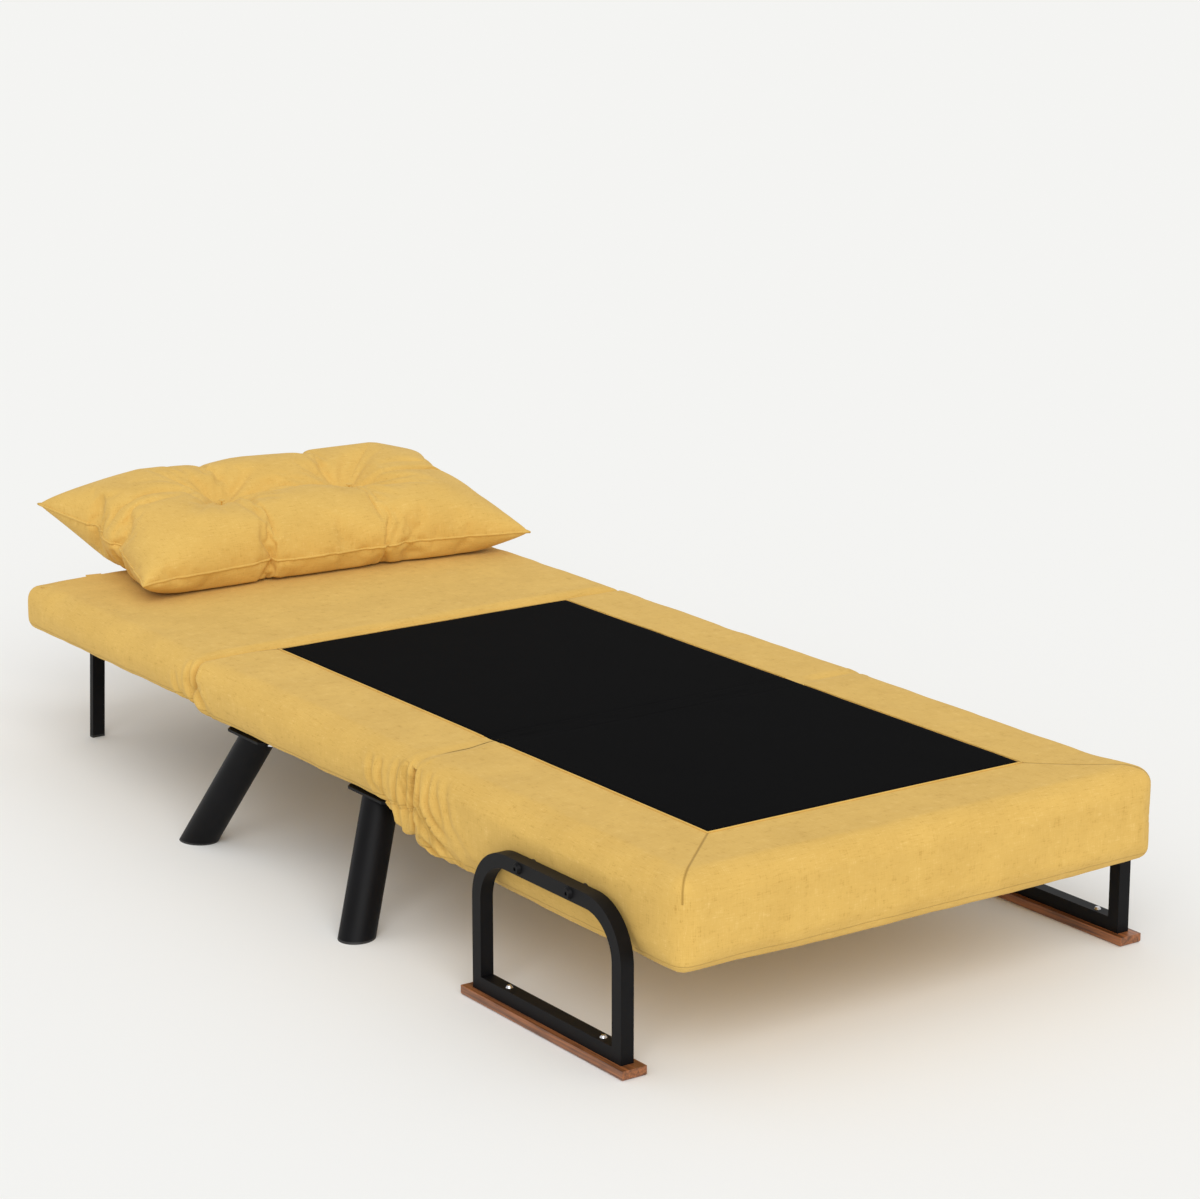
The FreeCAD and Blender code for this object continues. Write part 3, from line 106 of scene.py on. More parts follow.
class ChairBedColours(bpy.types.PropertyGroup):
    """Colours of the finishes"""
    cloth: bpy.props.FloatVectorProperty(name="Cloth", description="Main colour of the upholstery",
                                         default=(0.712, 0.456, 0.120), subtype="COLOR", size=3, min=0, max=1)
    cloth_light: bpy.props.FloatVectorProperty(name="Cloth, light threads", description="Lighter threads",
                                               default=(0.850, 0.585, 0.200), subtype="COLOR", size=3, min=0, max=1)
    cloth_dark: bpy.props.FloatVectorProperty(name="Cloth, dark threads", description="Darker threads",
                                              default=(0.520, 0.302, 0.066), subtype="COLOR", size=3, min=0, max=1)
    panel: bpy.props.FloatVectorProperty(name="Panel", description="Black lining panel",
                                         default=(0.0022, 0.0022, 0.0024), subtype="COLOR", size=3, min=0, max=1)
    steel: bpy.props.FloatVectorProperty(name="Steel", description="Black powder coat",
                                         default=(0.0030, 0.0029, 0.0035), subtype="COLOR", size=3, min=0, max=1)
    wood: bpy.props.FloatVectorProperty(name="Wood", description="Stained wood",
                                        default=(0.250, 0.086, 0.026), subtype="COLOR", size=3, min=0, max=1)
    floor: bpy.props.FloatVectorProperty(name="Floor", description="Plain pale floor",
                                         default=(0.905, 0.905, 0.888), subtype="COLOR", size=3, min=0, max=1)


def sizes():
    return bpy.context.scene.chair_bed_sizes


def colours():
    return bpy.context.scene.chair_bed_colours


def clear_selection():
    """Object mode with nothing selected."""
    if bpy.context.mode != "OBJECT":
        bpy.ops.object.mode_set(mode="OBJECT")
    bpy.ops.object.select_all(action="DESELECT")


def take(obj):
    """Select one object and make it active."""
    clear_selection()
    obj.select_set(True)
    bpy.context.view_layer.objects.active = obj
    return obj


def points_of(obj):
    co = np.empty(len(obj.data.vertices) * 3)
    obj.data.vertices.foreach_get("co", co)
    return co.reshape(-1, 3)


def set_points(obj, co):
    obj.data.vertices.foreach_set("co", co.astype(np.float32).ravel())
    obj.data.update()


def smooth(obj):
    obj.data.polygons.foreach_set("use_smooth", np.ones(len(obj.data.polygons), bool))
    obj.data.update()


def outward(obj):
    """Turn all faces outwards."""
    take(obj)
    bpy.ops.object.mode_set(mode="EDIT")
    bpy.ops.mesh.select_all(action="SELECT")
    bpy.ops.mesh.normals_make_consistent(inside=False)
    bpy.ops.object.mode_set(mode="OBJECT")


def sheet_grid(name, x0, x1, y0, y1, z, cell):
    """Flat grid of even quads at its size and place."""
    clear_selection()
    bpy.ops.mesh.primitive_grid_add(x_subdivisions=max(2, round((x1 - x0) / cell)),
                                    y_subdivisions=max(2, round((y1 - y0) / cell)), size=1,
                                    location=((x0 + x1) / 2, (y0 + y1) / 2, z))
    obj = bpy.context.object
    obj.name = name
    obj.data.name = name
    obj.scale = (x1 - x0, y1 - y0, 1)
    bpy.ops.object.transform_apply(location=True, rotation=True, scale=True)
    return obj


def padded_block(name, x0, x1, y0, y1, z0, z1, cell):
    """Closed block of even quads: a grid extruded down, with its sides cut into rows."""
    obj = sheet_grid(name, x0, x1, y0, y1, z1, cell)
    bpy.ops.object.mode_set(mode="EDIT")
    bpy.ops.mesh.select_all(action="SELECT")
    bpy.ops.mesh.extrude_region_move(TRANSFORM_OT_translate={"value": (0, 0, z0 - z1)})
    bpy.ops.mesh.select_all(action="DESELECT")
    bpy.ops.mesh.select_mode(type="EDGE")
    bpy.ops.object.mode_set(mode="OBJECT")
    co = points_of(obj)
    ends = np.empty(len(obj.data.edges) * 2, int)
    obj.data.edges.foreach_get("vertices", ends)
    tall = np.abs(co[ends[::2], 2] - co[ends[1::2], 2]) > (z1 - z0) / 2
    obj.data.edges.foreach_set("select", tall)
    bpy.ops.object.mode_set(mode="EDIT")
    bpy.ops.mesh.subdivide(number_cuts=max(1, round((z1 - z0) / cell) - 1))
    bpy.ops.mesh.select_mode(type="VERT")
    bpy.ops.object.mode_set(mode="OBJECT")
    outward(obj)
    return obj


def ease(x, a, b):
    """0 before a, 1 after b, smooth between."""
    t = np.clip((x - a) / (b - a), 0, 1)
    return t * t * (3 - 2 * t)


def wander(co, scale, seed):
    """Slow random swell of -1 to 1 over the points."""
    shift = Vector((seed * 7.3, seed * 3.1, seed * 5.7))
    return np.array([noise.noise(Vector(p) * scale + shift) for p in co])


def line_gap(y, z, line):
    """Distance from points to a bent line in the side plane, and how far along it they are."""
    best = np.full(len(y), 1e9)
    share = np.zeros(len(y))
    count = len(line) - 1
    for i in range(count):
        ay, az = line[i]
        by, bz = line[i + 1]
        dy, dz = by - ay, bz - az
        t = np.clip(((y - ay) * dy + (z - az) * dz) / (dy * dy + dz * dz), 0, 1)
        gap = np.hypot(y - ay - t * dy, z - az - t * dz)
        near = gap < best
        best[near] = gap[near]
        share[near] = (i + t[near]) / count
    return best, share


def gather(y, z, creases, depth):
    """Depth of the gathers at points of the side plane: a valley with a soft ridge beside it."""
    total = np.zeros(len(y))
    for line, width, much in creases:
        gap, share = line_gap(y, z, line)
        body = np.exp(-(gap / width) ** 2)
        ridge = np.exp(-((gap - 1.9 * width) / width) ** 2)
        strength = 0.35 + 0.65 * np.sin(np.pi * np.clip(share, 0.08, 0.92))
        total += depth * much * strength * (body - 0.5 * ridge)
    return total


# Gathers beside the fold and the tilt hinge, along the side: (distance from the foot end, height)
fold_gathers = [
    ([(0.724, 0.250), (0.719, 0.224), (0.694, 0.186)], 0.006, 0.7),
    ([(0.700, 0.250), (0.696, 0.206), (0.676, 0.178)], 0.0055, 1.0),
    ([(0.636, 0.262), (0.640, 0.203), (0.640, 0.165)], 0.005, 1.0),
    ([(0.618, 0.262), (0.612, 0.212), (0.579, 0.185), (0.545, 0.150)], 0.0055, 1.1),
    ([(0.606, 0.262), (0.594, 0.216), (0.560, 0.184), (0.503, 0.155)], 0.0055, 1.2),
    ([(0.576, 0.262), (0.571, 0.222), (0.538, 0.188), (0.489, 0.153)], 0.005, 0.9),
    ([(0.560, 0.255), (0.533, 0.196), (0.479, 0.159)], 0.006, 0.6),
    ([(0.534, 0.255), (0.518, 0.206), (0.470, 0.166)], 0.007, 0.4),
    ([(0.586, 0.166), (0.566, 0.156), (0.549, 0.149)], 0.006, 2.0),
    ([(0.660, 0.256), (0.662, 0.210), (0.655, 0.170)], 0.005, 0.8),
]
tilt_gathers = [
    ([(1.262, 0.266), (1.261, 0.235), (1.241, 0.195)], 0.005, 0.9),
    ([(1.241, 0.266), (1.236, 0.234), (1.207, 0.195)], 0.0055, 1.1),
    ([(1.300, 0.240), (1.297, 0.220), (1.268, 0.198)], 0.006, 0.6),
    ([(1.226, 0.240), (1.220, 0.225), (1.190, 0.196)], 0.006, 0.6),
]


def cushion_top(x, y, crown, end_crown, y0, y1):
    """Height of a cushion's top above its edge height."""
    u = np.clip((2 * y - y0 - y1) / (y1 - y0), -1, 1)
    return (end_crown + (crown - end_crown) * (1 - u * u)) * (1 - (x / half_width) ** 2)


def shape_cushion(co, y0, y1, z0, rounds, belly, seed):
    """Round a block's edges, crown it and let its sides stand out."""
    z1 = slab_top
    r_side, r0, r1, r_z = rounds
    low = np.array([-half_width + r_side, y0 + r0, z0 + r_z])
    high = np.array([half_width - r_side, y1 - r1, z1 - r_z])
    core = np.clip(co, low, high)
    off = co - core
    reach = np.stack([np.full(len(co), r_side), np.where(co[:, 1] < (y0 + y1) / 2, r0, r1),
                      np.full(len(co), r_z)], 1)
    long = np.linalg.norm(off / reach, axis=1)
    long[long < 1e-9] = 1
    co = core + off / long[:, None]
    x, y, z = co.T
    v = (z - z0) / (z1 - z0)
    u = np.clip((2 * y - y0 - y1) / (y1 - y0), -1, 1)
    arch = 1 - u * u
    side = ease(np.abs(x), half_width - 0.030, half_width - 0.004)
    new = co.copy()
    new[:, 2] += cushion_top(x, y, sizes().crown, 0.005, y0, y1) * ease(v, 0.55, 1.0)
    new[:, 2] -= belly * (0.4 + 0.6 * arch) * (1 - (x / half_width) ** 2) * ease(1 - v, 0.7, 1.0)
    new[:, 0] += np.sign(x) * sizes().bulge * (0.3 + 0.7 * arch) * (1 - (2 * v - 1) ** 2) * side
    swell = wander(co, 11.0, seed) * 0.0016 + wander(co, 27.0, seed + 1) * 0.0007
    away = off / np.maximum(np.linalg.norm(off, axis=1), 1e-9)[:, None]
    new += away * swell[:, None]
    return new


def weave_nodes(nodes, links):
    """Crossed threads on every face: three streaky noises, one for each direction."""
    place = nodes.new("ShaderNodeTexCoord").outputs["Object"]
    parts = []
    for scale in ((900, 70, 70), (70, 900, 70), (70, 70, 900)):
        turn = nodes.new("ShaderNodeMapping")
        turn.inputs["Scale"].default_value = scale
        links.new(place, turn.inputs["Vector"])
        grain = nodes.new("ShaderNodeTexNoise")
        grain.inputs["Scale"].default_value = 1.0
        grain.inputs["Detail"].default_value = 3.0
        grain.inputs["Roughness"].default_value = 0.62
        links.new(turn.outputs["Vector"], grain.inputs["Vector"])
        parts.append(grain.outputs["Fac"])
    first = nodes.new("ShaderNodeMath")
    first.operation = "ADD"
    links.new(parts[0], first.inputs[0])
    links.new(parts[1], first.inputs[1])
    both = nodes.new("ShaderNodeMath")
    both.operation = "ADD"
    links.new(first.outputs[0], both.inputs[0])
    links.new(parts[2], both.inputs[1])
    third = nodes.new("ShaderNodeMath")
    third.operation = "MULTIPLY"
    third.inputs[1].default_value = 1 / 3
    links.new(both.outputs[0], third.inputs[0])
    return place, third.outputs[0]


def ramp_of(nodes, links, value, stops):
    """Colour ramp through a few stops."""
    ramp = nodes.new("ShaderNodeValToRGB")
    ramp.color_ramp.elements[0].position = stops[0][0]
    ramp.color_ramp.elements[0].color = (*stops[0][1], 1)
    ramp.color_ramp.elements[1].position = stops[-1][0]
    ramp.color_ramp.elements[1].color = (*stops[-1][1], 1)
    for where, colour in stops[1:-1]:
        ramp.color_ramp.elements.new(where).color = (*colour, 1)
    links.new(value, ramp.inputs["Fac"])
    return ramp.outputs["Color"]


def mixed(nodes, links, kind, amount, a, b):
    """Mix two colours."""
    mix = nodes.new("ShaderNodeMix")
    mix.data_type = "RGBA"
    mix.blend_type = kind
    mix.inputs["Factor"].default_value = amount
    links.new(a, mix.inputs["A"])
    if hasattr(b, "links"):
        links.new(b, mix.inputs["B"])
    else:
        mix.inputs["B"].default_value = (*b, 1)
    return mix.outputs["Result"]


def noise_of(nodes, links, place, scale, detail, stretch=None):
    """Noise at a scale, stretched along one way if asked."""
    source = place
    if stretch:
        turn = nodes.new("ShaderNodeMapping")
        turn.inputs["Scale"].default_value = stretch
        links.new(place, turn.inputs["Vector"])
        source = turn.outputs["Vector"]
    tex = nodes.new("ShaderNodeTexNoise")
    tex.inputs["Scale"].default_value = scale
    tex.inputs["Detail"].default_value = detail
    links.new(source, tex.inputs["Vector"])
    return tex.outputs["Fac"]


def sum_of(nodes, links, op, a, b):
    """One math step on two values, either of which may be a number."""
    step = nodes.new("ShaderNodeMath")
    step.operation = op
    for socket, value in zip(step.inputs, (a, b)):
        if isinstance(value, (int, float)):
            socket.default_value = value
        else:
            links.new(value, socket)
    return step.outputs[0]


def seam_line(nodes, links, axes, a, b, width):
    """1 on a straight seam between two points of a plane and 0 away from it."""
    run = Vector((b[0] - a[0], b[1] - a[1]))
    length = run.length
    run /= length
    p = sum_of(nodes, links, "SUBTRACT", axes[0], a[0])
    q = sum_of(nodes, links, "SUBTRACT", axes[1], a[1])
    along = sum_of(nodes, links, "ADD", sum_of(nodes, links, "MULTIPLY", p, run.x),
                   sum_of(nodes, links, "MULTIPLY", q, run.y))
    across = sum_of(nodes, links, "SUBTRACT", sum_of(nodes, links, "MULTIPLY", p, run.y),
                    sum_of(nodes, links, "MULTIPLY", q, run.x))
    across = sum_of(nodes, links, "ABSOLUTE", across, 0)
    on = nodes.new("ShaderNodeMapRange")
    on.inputs["From Min"].default_value = width
    on.inputs["From Max"].default_value = 0
    links.new(across, on.inputs["Value"])
    before = sum_of(nodes, links, "GREATER_THAN", along, 0)
    after = sum_of(nodes, links, "LESS_THAN", along, length)
    return sum_of(nodes, links, "MULTIPLY", on.outputs["Result"], sum_of(nodes, links, "MULTIPLY", before, after))


# Fine gathers that fan out below the fold, as lines of the side plane: painted shade in the cloth's colour and dents
# in its bump
fine_shaded_gathers = [((0.650, 0.266), (0.500 + 0.019 * k, 0.146 + 0.0045 * k), 0.0028 + 0.0004 * (k % 3)) for k in range(10)]


def cloth_material(name, seams=(), levels=(), shaded_gathers=()):
    """Linen-look weave with slubs, mottling, seams and a soft sheen; the seams and fine gathers are darkened with
    painted shade.
    """
    mat = bpy.data.materials.new(name)
    mat.use_nodes = True
    nodes, links = mat.node_tree.nodes, mat.node_tree.links
    shader = nodes["Principled BSDF"]
    c = colours()
    place, threads = weave_nodes(nodes, links)
    base = ramp_of(nodes, links, threads, [(0.33, tuple(c.cloth_dark)), (0.46, tuple(c.cloth)),
                                           (0.54, tuple(c.cloth)), (0.70, tuple(c.cloth_light))])
    cloud = noise_of(nodes, links, place, 14.0, 4.0)
    tint = ramp_of(nodes, links, cloud, [(0.3, (0.90, 0.885, 0.86)), (0.7, (1.0, 1.0, 1.0))])
    base = mixed(nodes, links, "MULTIPLY", 0.8, base, tint)
    height = threads
    axes = nodes.new("ShaderNodeSeparateXYZ")
    links.new(place, axes.inputs[0])
    x, y, z = axes.outputs
    wide_x = sum_of(nodes, links, "ABSOLUTE", x, 0)
    on_top = sum_of(nodes, links, "GREATER_THAN", z, 0.24)
    # Painted shade along the seams on the top and round the side seam levels
    shaded_marks = [sum_of(nodes, links, "MULTIPLY", seam_line(nodes, links, (wide_x, y), a, b, 0.0022), on_top)
             for a, b in seams]
    for level in levels:
        gap = sum_of(nodes, links, "ABSOLUTE", sum_of(nodes, links, "SUBTRACT", z, level), 0)
        on = nodes.new("ShaderNodeMapRange")
        on.inputs["From Min"].default_value = 0.0013
        on.inputs["From Max"].default_value = 0
        on.inputs["To Max"].default_value = 0.5
        links.new(gap, on.inputs["Value"])
        shaded_marks.append(on.outputs["Result"])
    on_side = sum_of(nodes, links, "GREATER_THAN", wide_x, half_width - 0.012)
    # Painted shade along the fine gathers on the sides, 0.38 strong, with a matching dent in the bump
    for a, b, width in shaded_gathers:
        line = seam_line(nodes, links, (y, z), (at(a[0]), a[1]), (at(b[0]), b[1]), width)
        shaded_marks.append(sum_of(nodes, links, "MULTIPLY", sum_of(nodes, links, "MULTIPLY", line, 0.38), on_side))
    if shaded_marks:
        seam = shaded_marks[0]
        for mark in shaded_marks[1:]:
            seam = sum_of(nodes, links, "MAXIMUM", seam, mark)
        # Painted shade: the seams, side seam levels and fine gathers darken the colour, and are also cut in as
        # grooves in the bump
        shade = ramp_of(nodes, links, seam, [(0.0, (1, 1, 1)), (1.0, (0.62, 0.56, 0.46))])
        base = mixed(nodes, links, "MULTIPLY", 1.0, base, shade)
        height = sum_of(nodes, links, "SUBTRACT", threads, sum_of(nodes, links, "MULTIPLY", seam, 2.2))
    links.new(base, shader.inputs["Base Color"])
    shader.inputs["Roughness"].default_value = 0.88
    shader.inputs["Specular IOR Level"].default_value = 0.12
    shader.inputs["Sheen Weight"].default_value = 0.12
    shader.inputs["Sheen Roughness"].default_value = 0.5
    shader.inputs["Sheen Tint"].default_value = (1.0, 0.86, 0.55, 1)
    bump = nodes.new("ShaderNodeBump")
    bump.inputs["Strength"].default_value = 0.55
    bump.inputs["Distance"].default_value = 0.0011
    links.new(height, bump.inputs["Height"])
    links.new(bump.outputs["Normal"], shader.inputs["Normal"])
    return mat


def lining_material(name):
    """Thin black lining with a faint needle-punched grain."""
    mat = bpy.data.materials.new(name)
    mat.use_nodes = True
    nodes, links = mat.node_tree.nodes, mat.node_tree.links
    shader = nodes["Principled BSDF"]
    place = nodes.new("ShaderNodeTexCoord").outputs["Object"]
    grain = noise_of(nodes, links, place, 620.0, 3.0)
    dark = tuple(colours().panel)
    base = ramp_of(nodes, links, grain, [(0.35, tuple(0.7 * v for v in dark)), (0.6, dark),
                                         (0.74, tuple(2.2 * v for v in dark))])
    links.new(base, shader.inputs["Base Color"])
    shader.inputs["Roughness"].default_value = 0.95
    shader.inputs["Specular IOR Level"].default_value = 0.05
    bump = nodes.new("ShaderNodeBump")
    bump.inputs["Strength"].default_value = 0.4
    bump.inputs["Distance"].default_value = 0.0005
    links.new(grain, bump.inputs["Height"])
    links.new(bump.outputs["Normal"], shader.inputs["Normal"])
    return mat


def steel_material(name):
    """Satin black powder coat: fine orange peel, with a cloudy tone and roughness."""
    mat = bpy.data.materials.new(name)
    mat.use_nodes = True
    nodes, links = mat.node_tree.nodes, mat.node_tree.links
    shader = nodes["Principled BSDF"]
    place = nodes.new("ShaderNodeTexCoord").outputs["Object"]
    peel = noise_of(nodes, links, place, 900.0, 2.0)
    cloud = noise_of(nodes, links, place, 22.0, 3.0)
    dark = tuple(colours().steel)
    base = ramp_of(nodes, links, cloud, [(0.3, tuple(0.8 * v for v in dark)), (0.7, tuple(1.5 * v for v in dark))])
    links.new(base, shader.inputs["Base Color"])
    rough = nodes.new("ShaderNodeMapRange")
    rough.inputs["To Min"].default_value = 0.42
    rough.inputs["To Max"].default_value = 0.56
    links.new(cloud, rough.inputs["Value"])
    links.new(rough.outputs["Result"], shader.inputs["Roughness"])
    shader.inputs["Specular IOR Level"].default_value = 0.14
    bump = nodes.new("ShaderNodeBump")
    bump.inputs["Strength"].default_value = 0.18
    bump.inputs["Distance"].default_value = 0.0003
    links.new(peel, bump.inputs["Height"])
    links.new(bump.outputs["Normal"], shader.inputs["Normal"])
    return mat


def wood_material(name):
    """Stained close-grained wood, the grain along the skid."""
    mat = bpy.data.materials.new(name)
    mat.use_nodes = True
    nodes, links = mat.node_tree.nodes, mat.node_tree.links
    shader = nodes["Principled BSDF"]
    place = nodes.new("ShaderNodeTexCoord").outputs["Object"]
    grain = noise_of(nodes, links, place, 1.0, 6.0, (260, 9, 260))
    pores = noise_of(nodes, links, place, 1.0, 3.0, (900, 38, 900))
    wood = tuple(colours().wood)
    base = ramp_of(nodes, links, grain, [(0.30, tuple(0.38 * v for v in wood)), (0.5, wood),
                                         (0.72, tuple(min(1, 1.75 * v) for v in wood))])
    fleck = ramp_of(nodes, links, pores, [(0.36, (0.45, 0.4, 0.36)), (0.46, (1, 1, 1))])
    base = mixed(nodes, links, "MULTIPLY", 0.7, base, fleck)
    links.new(base, shader.inputs["Base Color"])
    shader.inputs["Roughness"].default_value = 0.42
    shader.inputs["Coat Weight"].default_value = 0.25
    shader.inputs["Coat Roughness"].default_value = 0.3
    bump = nodes.new("ShaderNodeBump")
    bump.inputs["Strength"].default_value = 0.25
    bump.inputs["Distance"].default_value = 0.0004
    links.new(grain, bump.inputs["Height"])
    links.new(bump.outputs["Normal"], shader.inputs["Normal"])
    return mat


def plain_material(name, colour, metallic, rough, scale, spread=0.12):
    """Metal, plastic or foam with a fine grain in its roughness and tone."""
    mat = bpy.data.materials.new(name)
    mat.use_nodes = True
    nodes, links = mat.node_tree.nodes, mat.node_tree.links
    shader = nodes["Principled BSDF"]
    place = nodes.new("ShaderNodeTexCoord").outputs["Object"]
    grain = noise_of(nodes, links, place, scale, 3.0)
    base = ramp_of(nodes, links, grain, [(0.3, tuple((1 - spread) * v for v in colour)),
                                         (0.7, tuple(min(1, (1 + spread) * v) for v in colour))])
    links.new(base, shader.inputs["Base Color"])
    shader.inputs["Metallic"].default_value = metallic
    level = nodes.new("ShaderNodeMapRange")
    level.inputs["To Min"].default_value = max(0, rough - 0.08)
    level.inputs["To Max"].default_value = min(1, rough + 0.08)
    links.new(grain, level.inputs["Value"])
    links.new(level.outputs["Result"], shader.inputs["Roughness"])
    bump = nodes.new("ShaderNodeBump")
    bump.inputs["Strength"].default_value = 0.2
    bump.inputs["Distance"].default_value = 0.0003
    links.new(grain, bump.inputs["Height"])
    links.new(bump.outputs["Normal"], shader.inputs["Normal"])
    return mat


finishes = {}


def finish_named(name):
    """A finish, made the first time that it is asked for."""
    if name not in finishes:
        makers = {
            "upholstery": lambda: cloth_material("mustard_linen"),
            "foot_cloth": lambda: cloth_material(
                "mustard_linen_foot", [((panel_half, at(panel_start)), (half_width, at(0.0)))],
                (foot_lo.z + 0.020,), fine_shaded_gathers),
            "seat_cloth": lambda: cloth_material(
                "mustard_linen_seat", [((panel_half, at(panel_end)), (half_width, at(1.262)))],
                (seat_lo.z + 0.012,), fine_shaded_gathers),
            "back_cloth": lambda: cloth_material("mustard_linen_back", (), (back_lo.z + 0.012,)),
            "lining": lambda: lining_material("black_lining"),
            "black_steel": lambda: steel_material("black_powder_coat"),
            "wood": lambda: wood_material("stained_wood"),
            "zinc": lambda: plain_material("bright_zinc", (0.72, 0.72, 0.74), 1.0, 0.28, 700.0),
            "dark_steel": lambda: plain_material("hardened_steel", (0.25, 0.25, 0.26), 1.0, 0.4, 500.0),
            "floor_plastic": lambda: plain_material("floor_plastic", (0.016, 0.016, 0.016), 0.0, 0.6, 600.0),
            "strap": lambda: plain_material("elastic_webbing", (0.03, 0.03, 0.032), 0.0, 0.8, 420.0, 0.4),
            "foam": lambda: plain_material("cushion_foam", (0.80, 0.74, 0.56), 0.0, 0.95, 260.0),
            "filling": lambda: plain_material("fibre_filling", (0.85, 0.85, 0.82), 0.0, 0.95, 90.0),
        }
        finishes[name] = makers[name]()
    return finishes[name]


def dress(obj, finish):
    """Give a piece its one finish."""
    obj.data.materials.clear()
    obj.data.materials.append(finish_named(finish))
    return obj


node_finishes = {
    "black_steel": ("seat_side_rails", "seat_cross_rails", "front_leg_left", "front_leg_right", "rear_leg_left",
                    "rear_leg_right", "leg_plates", "seat_hinge_brackets", "ratchet_plates", "fold_links",
                    "foot_side_rails", "foot_cross_rails", "foot_hinge_brackets", "armrest_loop_left",
                    "armrest_loop_right", "back_side_rails", "back_cross_rails", "tilt_plates",
                    "support_leg_brackets", "support_leg", "armrest_bolts"),
    "zinc": ("leg_bolts", "leg_nuts", "ratchet_bolts", "armrest_nuts", "skid_screws", "back_bolts"),
    "dark_steel": ("seat_pins", "foot_pins", "pawl_pins", "pawl_springs", "pawl_left", "pawl_right"),
    "floor_plastic": ("leg_caps", "armrest_spacers", "support_leg_caps"),
    "wood": ("armrest_skid_left", "armrest_skid_right"),
    "strap": ("seat_straps", "foot_straps", "back_straps"),
    "lining": ("seat_dust_cover", "back_dust_cover", "seat_lining", "foot_lining"),
    "foam": ("seat_foam", "foot_foam_upper", "foot_foam_lower", "back_foam", "seat_edge_pads", "foot_edge_pads",
             "back_edge_pads"),
    "filling": ("pillow_filling",),
    "upholstery": ("seat_cover", "foot_cover", "back_cover", "fold_gusset", "pillow_cover", "pillow_ties",
                   "back_tabs"),
}


class ChairBedFrameFinishes(bpy.types.Operator):
    """Give every piece of the frame its metal, wood, plastic or strap finish"""
    bl_idname = "chair_bed.frame_finishes"
    bl_label = "Frame finishes"

    def execute(self, context):
        for finish, names in node_finishes.items():
            for name in names:
                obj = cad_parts[name]
                for slot in obj.material_slots:
                    slot.material = finish_named(finish)
        return {"FINISHED"}


def puff(obj, frames, pressure, cap):
    """Swell a padded piece as cloth, cap how far a point may move and apply it."""
    take(obj)
    before = points_of(obj)
    cloth = obj.modifiers.new("swell", "CLOTH")
    cloth.settings.quality = 3
    cloth.settings.mass = 0.3
    cloth.settings.tension_stiffness = 20
    cloth.settings.compression_stiffness = 20
    cloth.settings.bending_stiffness = 2
    cloth.settings.use_pressure = True
    cloth.settings.uniform_pressure_force = pressure
    cloth.settings.effector_weights.gravity = 0
    cloth.collision_settings.use_collision = False
    low = before[:, 2].min()
    held = obj.vertex_groups.new(name="held")
    held.add([int(i) for i in np.nonzero(before[:, 2] < low + 0.012)[0]], 1.0, "REPLACE")
    cloth.settings.vertex_group_mass = "held"
    cloth.point_cache.frame_start = 1
    cloth.point_cache.frame_end = frames
    for step in range(1, frames + 1):
        bpy.context.scene.frame_set(step)
    bpy.ops.object.modifier_apply(modifier="swell")
    bpy.context.scene.frame_set(1)
    move = points_of(obj) - before
    long = np.linalg.norm(move, axis=1)
    set_points(obj, before + move * np.minimum(1, cap / np.maximum(long, 1e-9))[:, None])
    obj.vertex_groups.clear()


def make_cushion(name, y0, y1, z0, rounds, belly, creases, seed, finer="both ends"):
    """Block, rounded, swelled and gathered."""
    block = padded_block(name, -half_width, half_width, y0, y1, z0, slab_top, sizes().cell)
    co = points_of(block)
    share = (co[:, 1] - y0) / (y1 - y0)
    co[:, 1] -= (y1 - y0) * (0.06 * np.sin(2 * np.pi * share) if finer == "both ends" else
                             -0.12 * np.sin(np.pi * share))
    set_points(block, co)
    set_points(block, shape_cushion(points_of(block), y0, y1, z0, rounds, belly, seed))
    puff(block, 7, 6.0, 0.003)
    co = points_of(block)
    x, y, z = co.T
    v = (z - z0) / (slab_top - z0)
    side = ease(np.abs(x), half_width - 0.030, half_width - 0.004)
    dent = gather(y - foot_end, z, creases, sizes().crease)
    co[:, 0] -= np.sign(x) * dent * np.where(x > 0, 0.75, 1.0) * side * ease(1 - v, -0.02, 0.16)
    over = np.clip(co[:, 2] - 0.2758, 0, None)
    co[:, 2] -= over - 0.0019 * (1 - np.exp(-over / 0.0019))
    set_points(block, co)
    smooth(block)
    return block


class ChairBedFoot(bpy.types.Operator):
    """Make the foot section's upholstered cushion"""
    bl_idname = "chair_bed.foot_section"
    bl_label = "Foot section"

    def execute(self, context):
        obj = make_cushion("foot_cushion", at(0), at(0.62225), 0.146, (0.018, 0.024, 0.010, 0.020), 0.008,
                           fold_gathers, 3, "fold end")
        co = points_of(obj)
        x, y, z = co.T
        front = 1 - ease(y, at(0.0), at(0.03))
        co[:, 1] -= front * 0.0015 * (1 - (x / half_width) ** 2) * np.clip(1 - np.abs(z - 0.21) / 0.07, 0, 1)
        co[:, 2] += 0.004 * np.exp(-((x - 0.37) / 0.05) ** 2 - ((y - at(0.03)) / 0.05) ** 2) * ease(z, 0.2, 0.27)
        set_points(obj, co)
        dress(obj, "foot_cloth")
        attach(obj, "foot")
        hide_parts("foot_cover", "foot_foam_upper", "foot_foam_lower", "foot_edge_pads")
        return {"FINISHED"}


class ChairBedSeat(bpy.types.Operator):
    """Make the seat section's upholstered cushion"""
    bl_idname = "chair_bed.seat_section"
    bl_label = "Seat section"

    def execute(self, context):
        obj = make_cushion("seat_cushion", at(0.62375), at(1.246), 0.190, (0.018, 0.010, 0.011, 0.018), 0.0,
                           fold_gathers + tilt_gathers, 5)
        dress(obj, "seat_cloth")
        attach(obj, "root")
        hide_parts("seat_cover", "seat_foam", "seat_edge_pads")
        return {"FINISHED"}


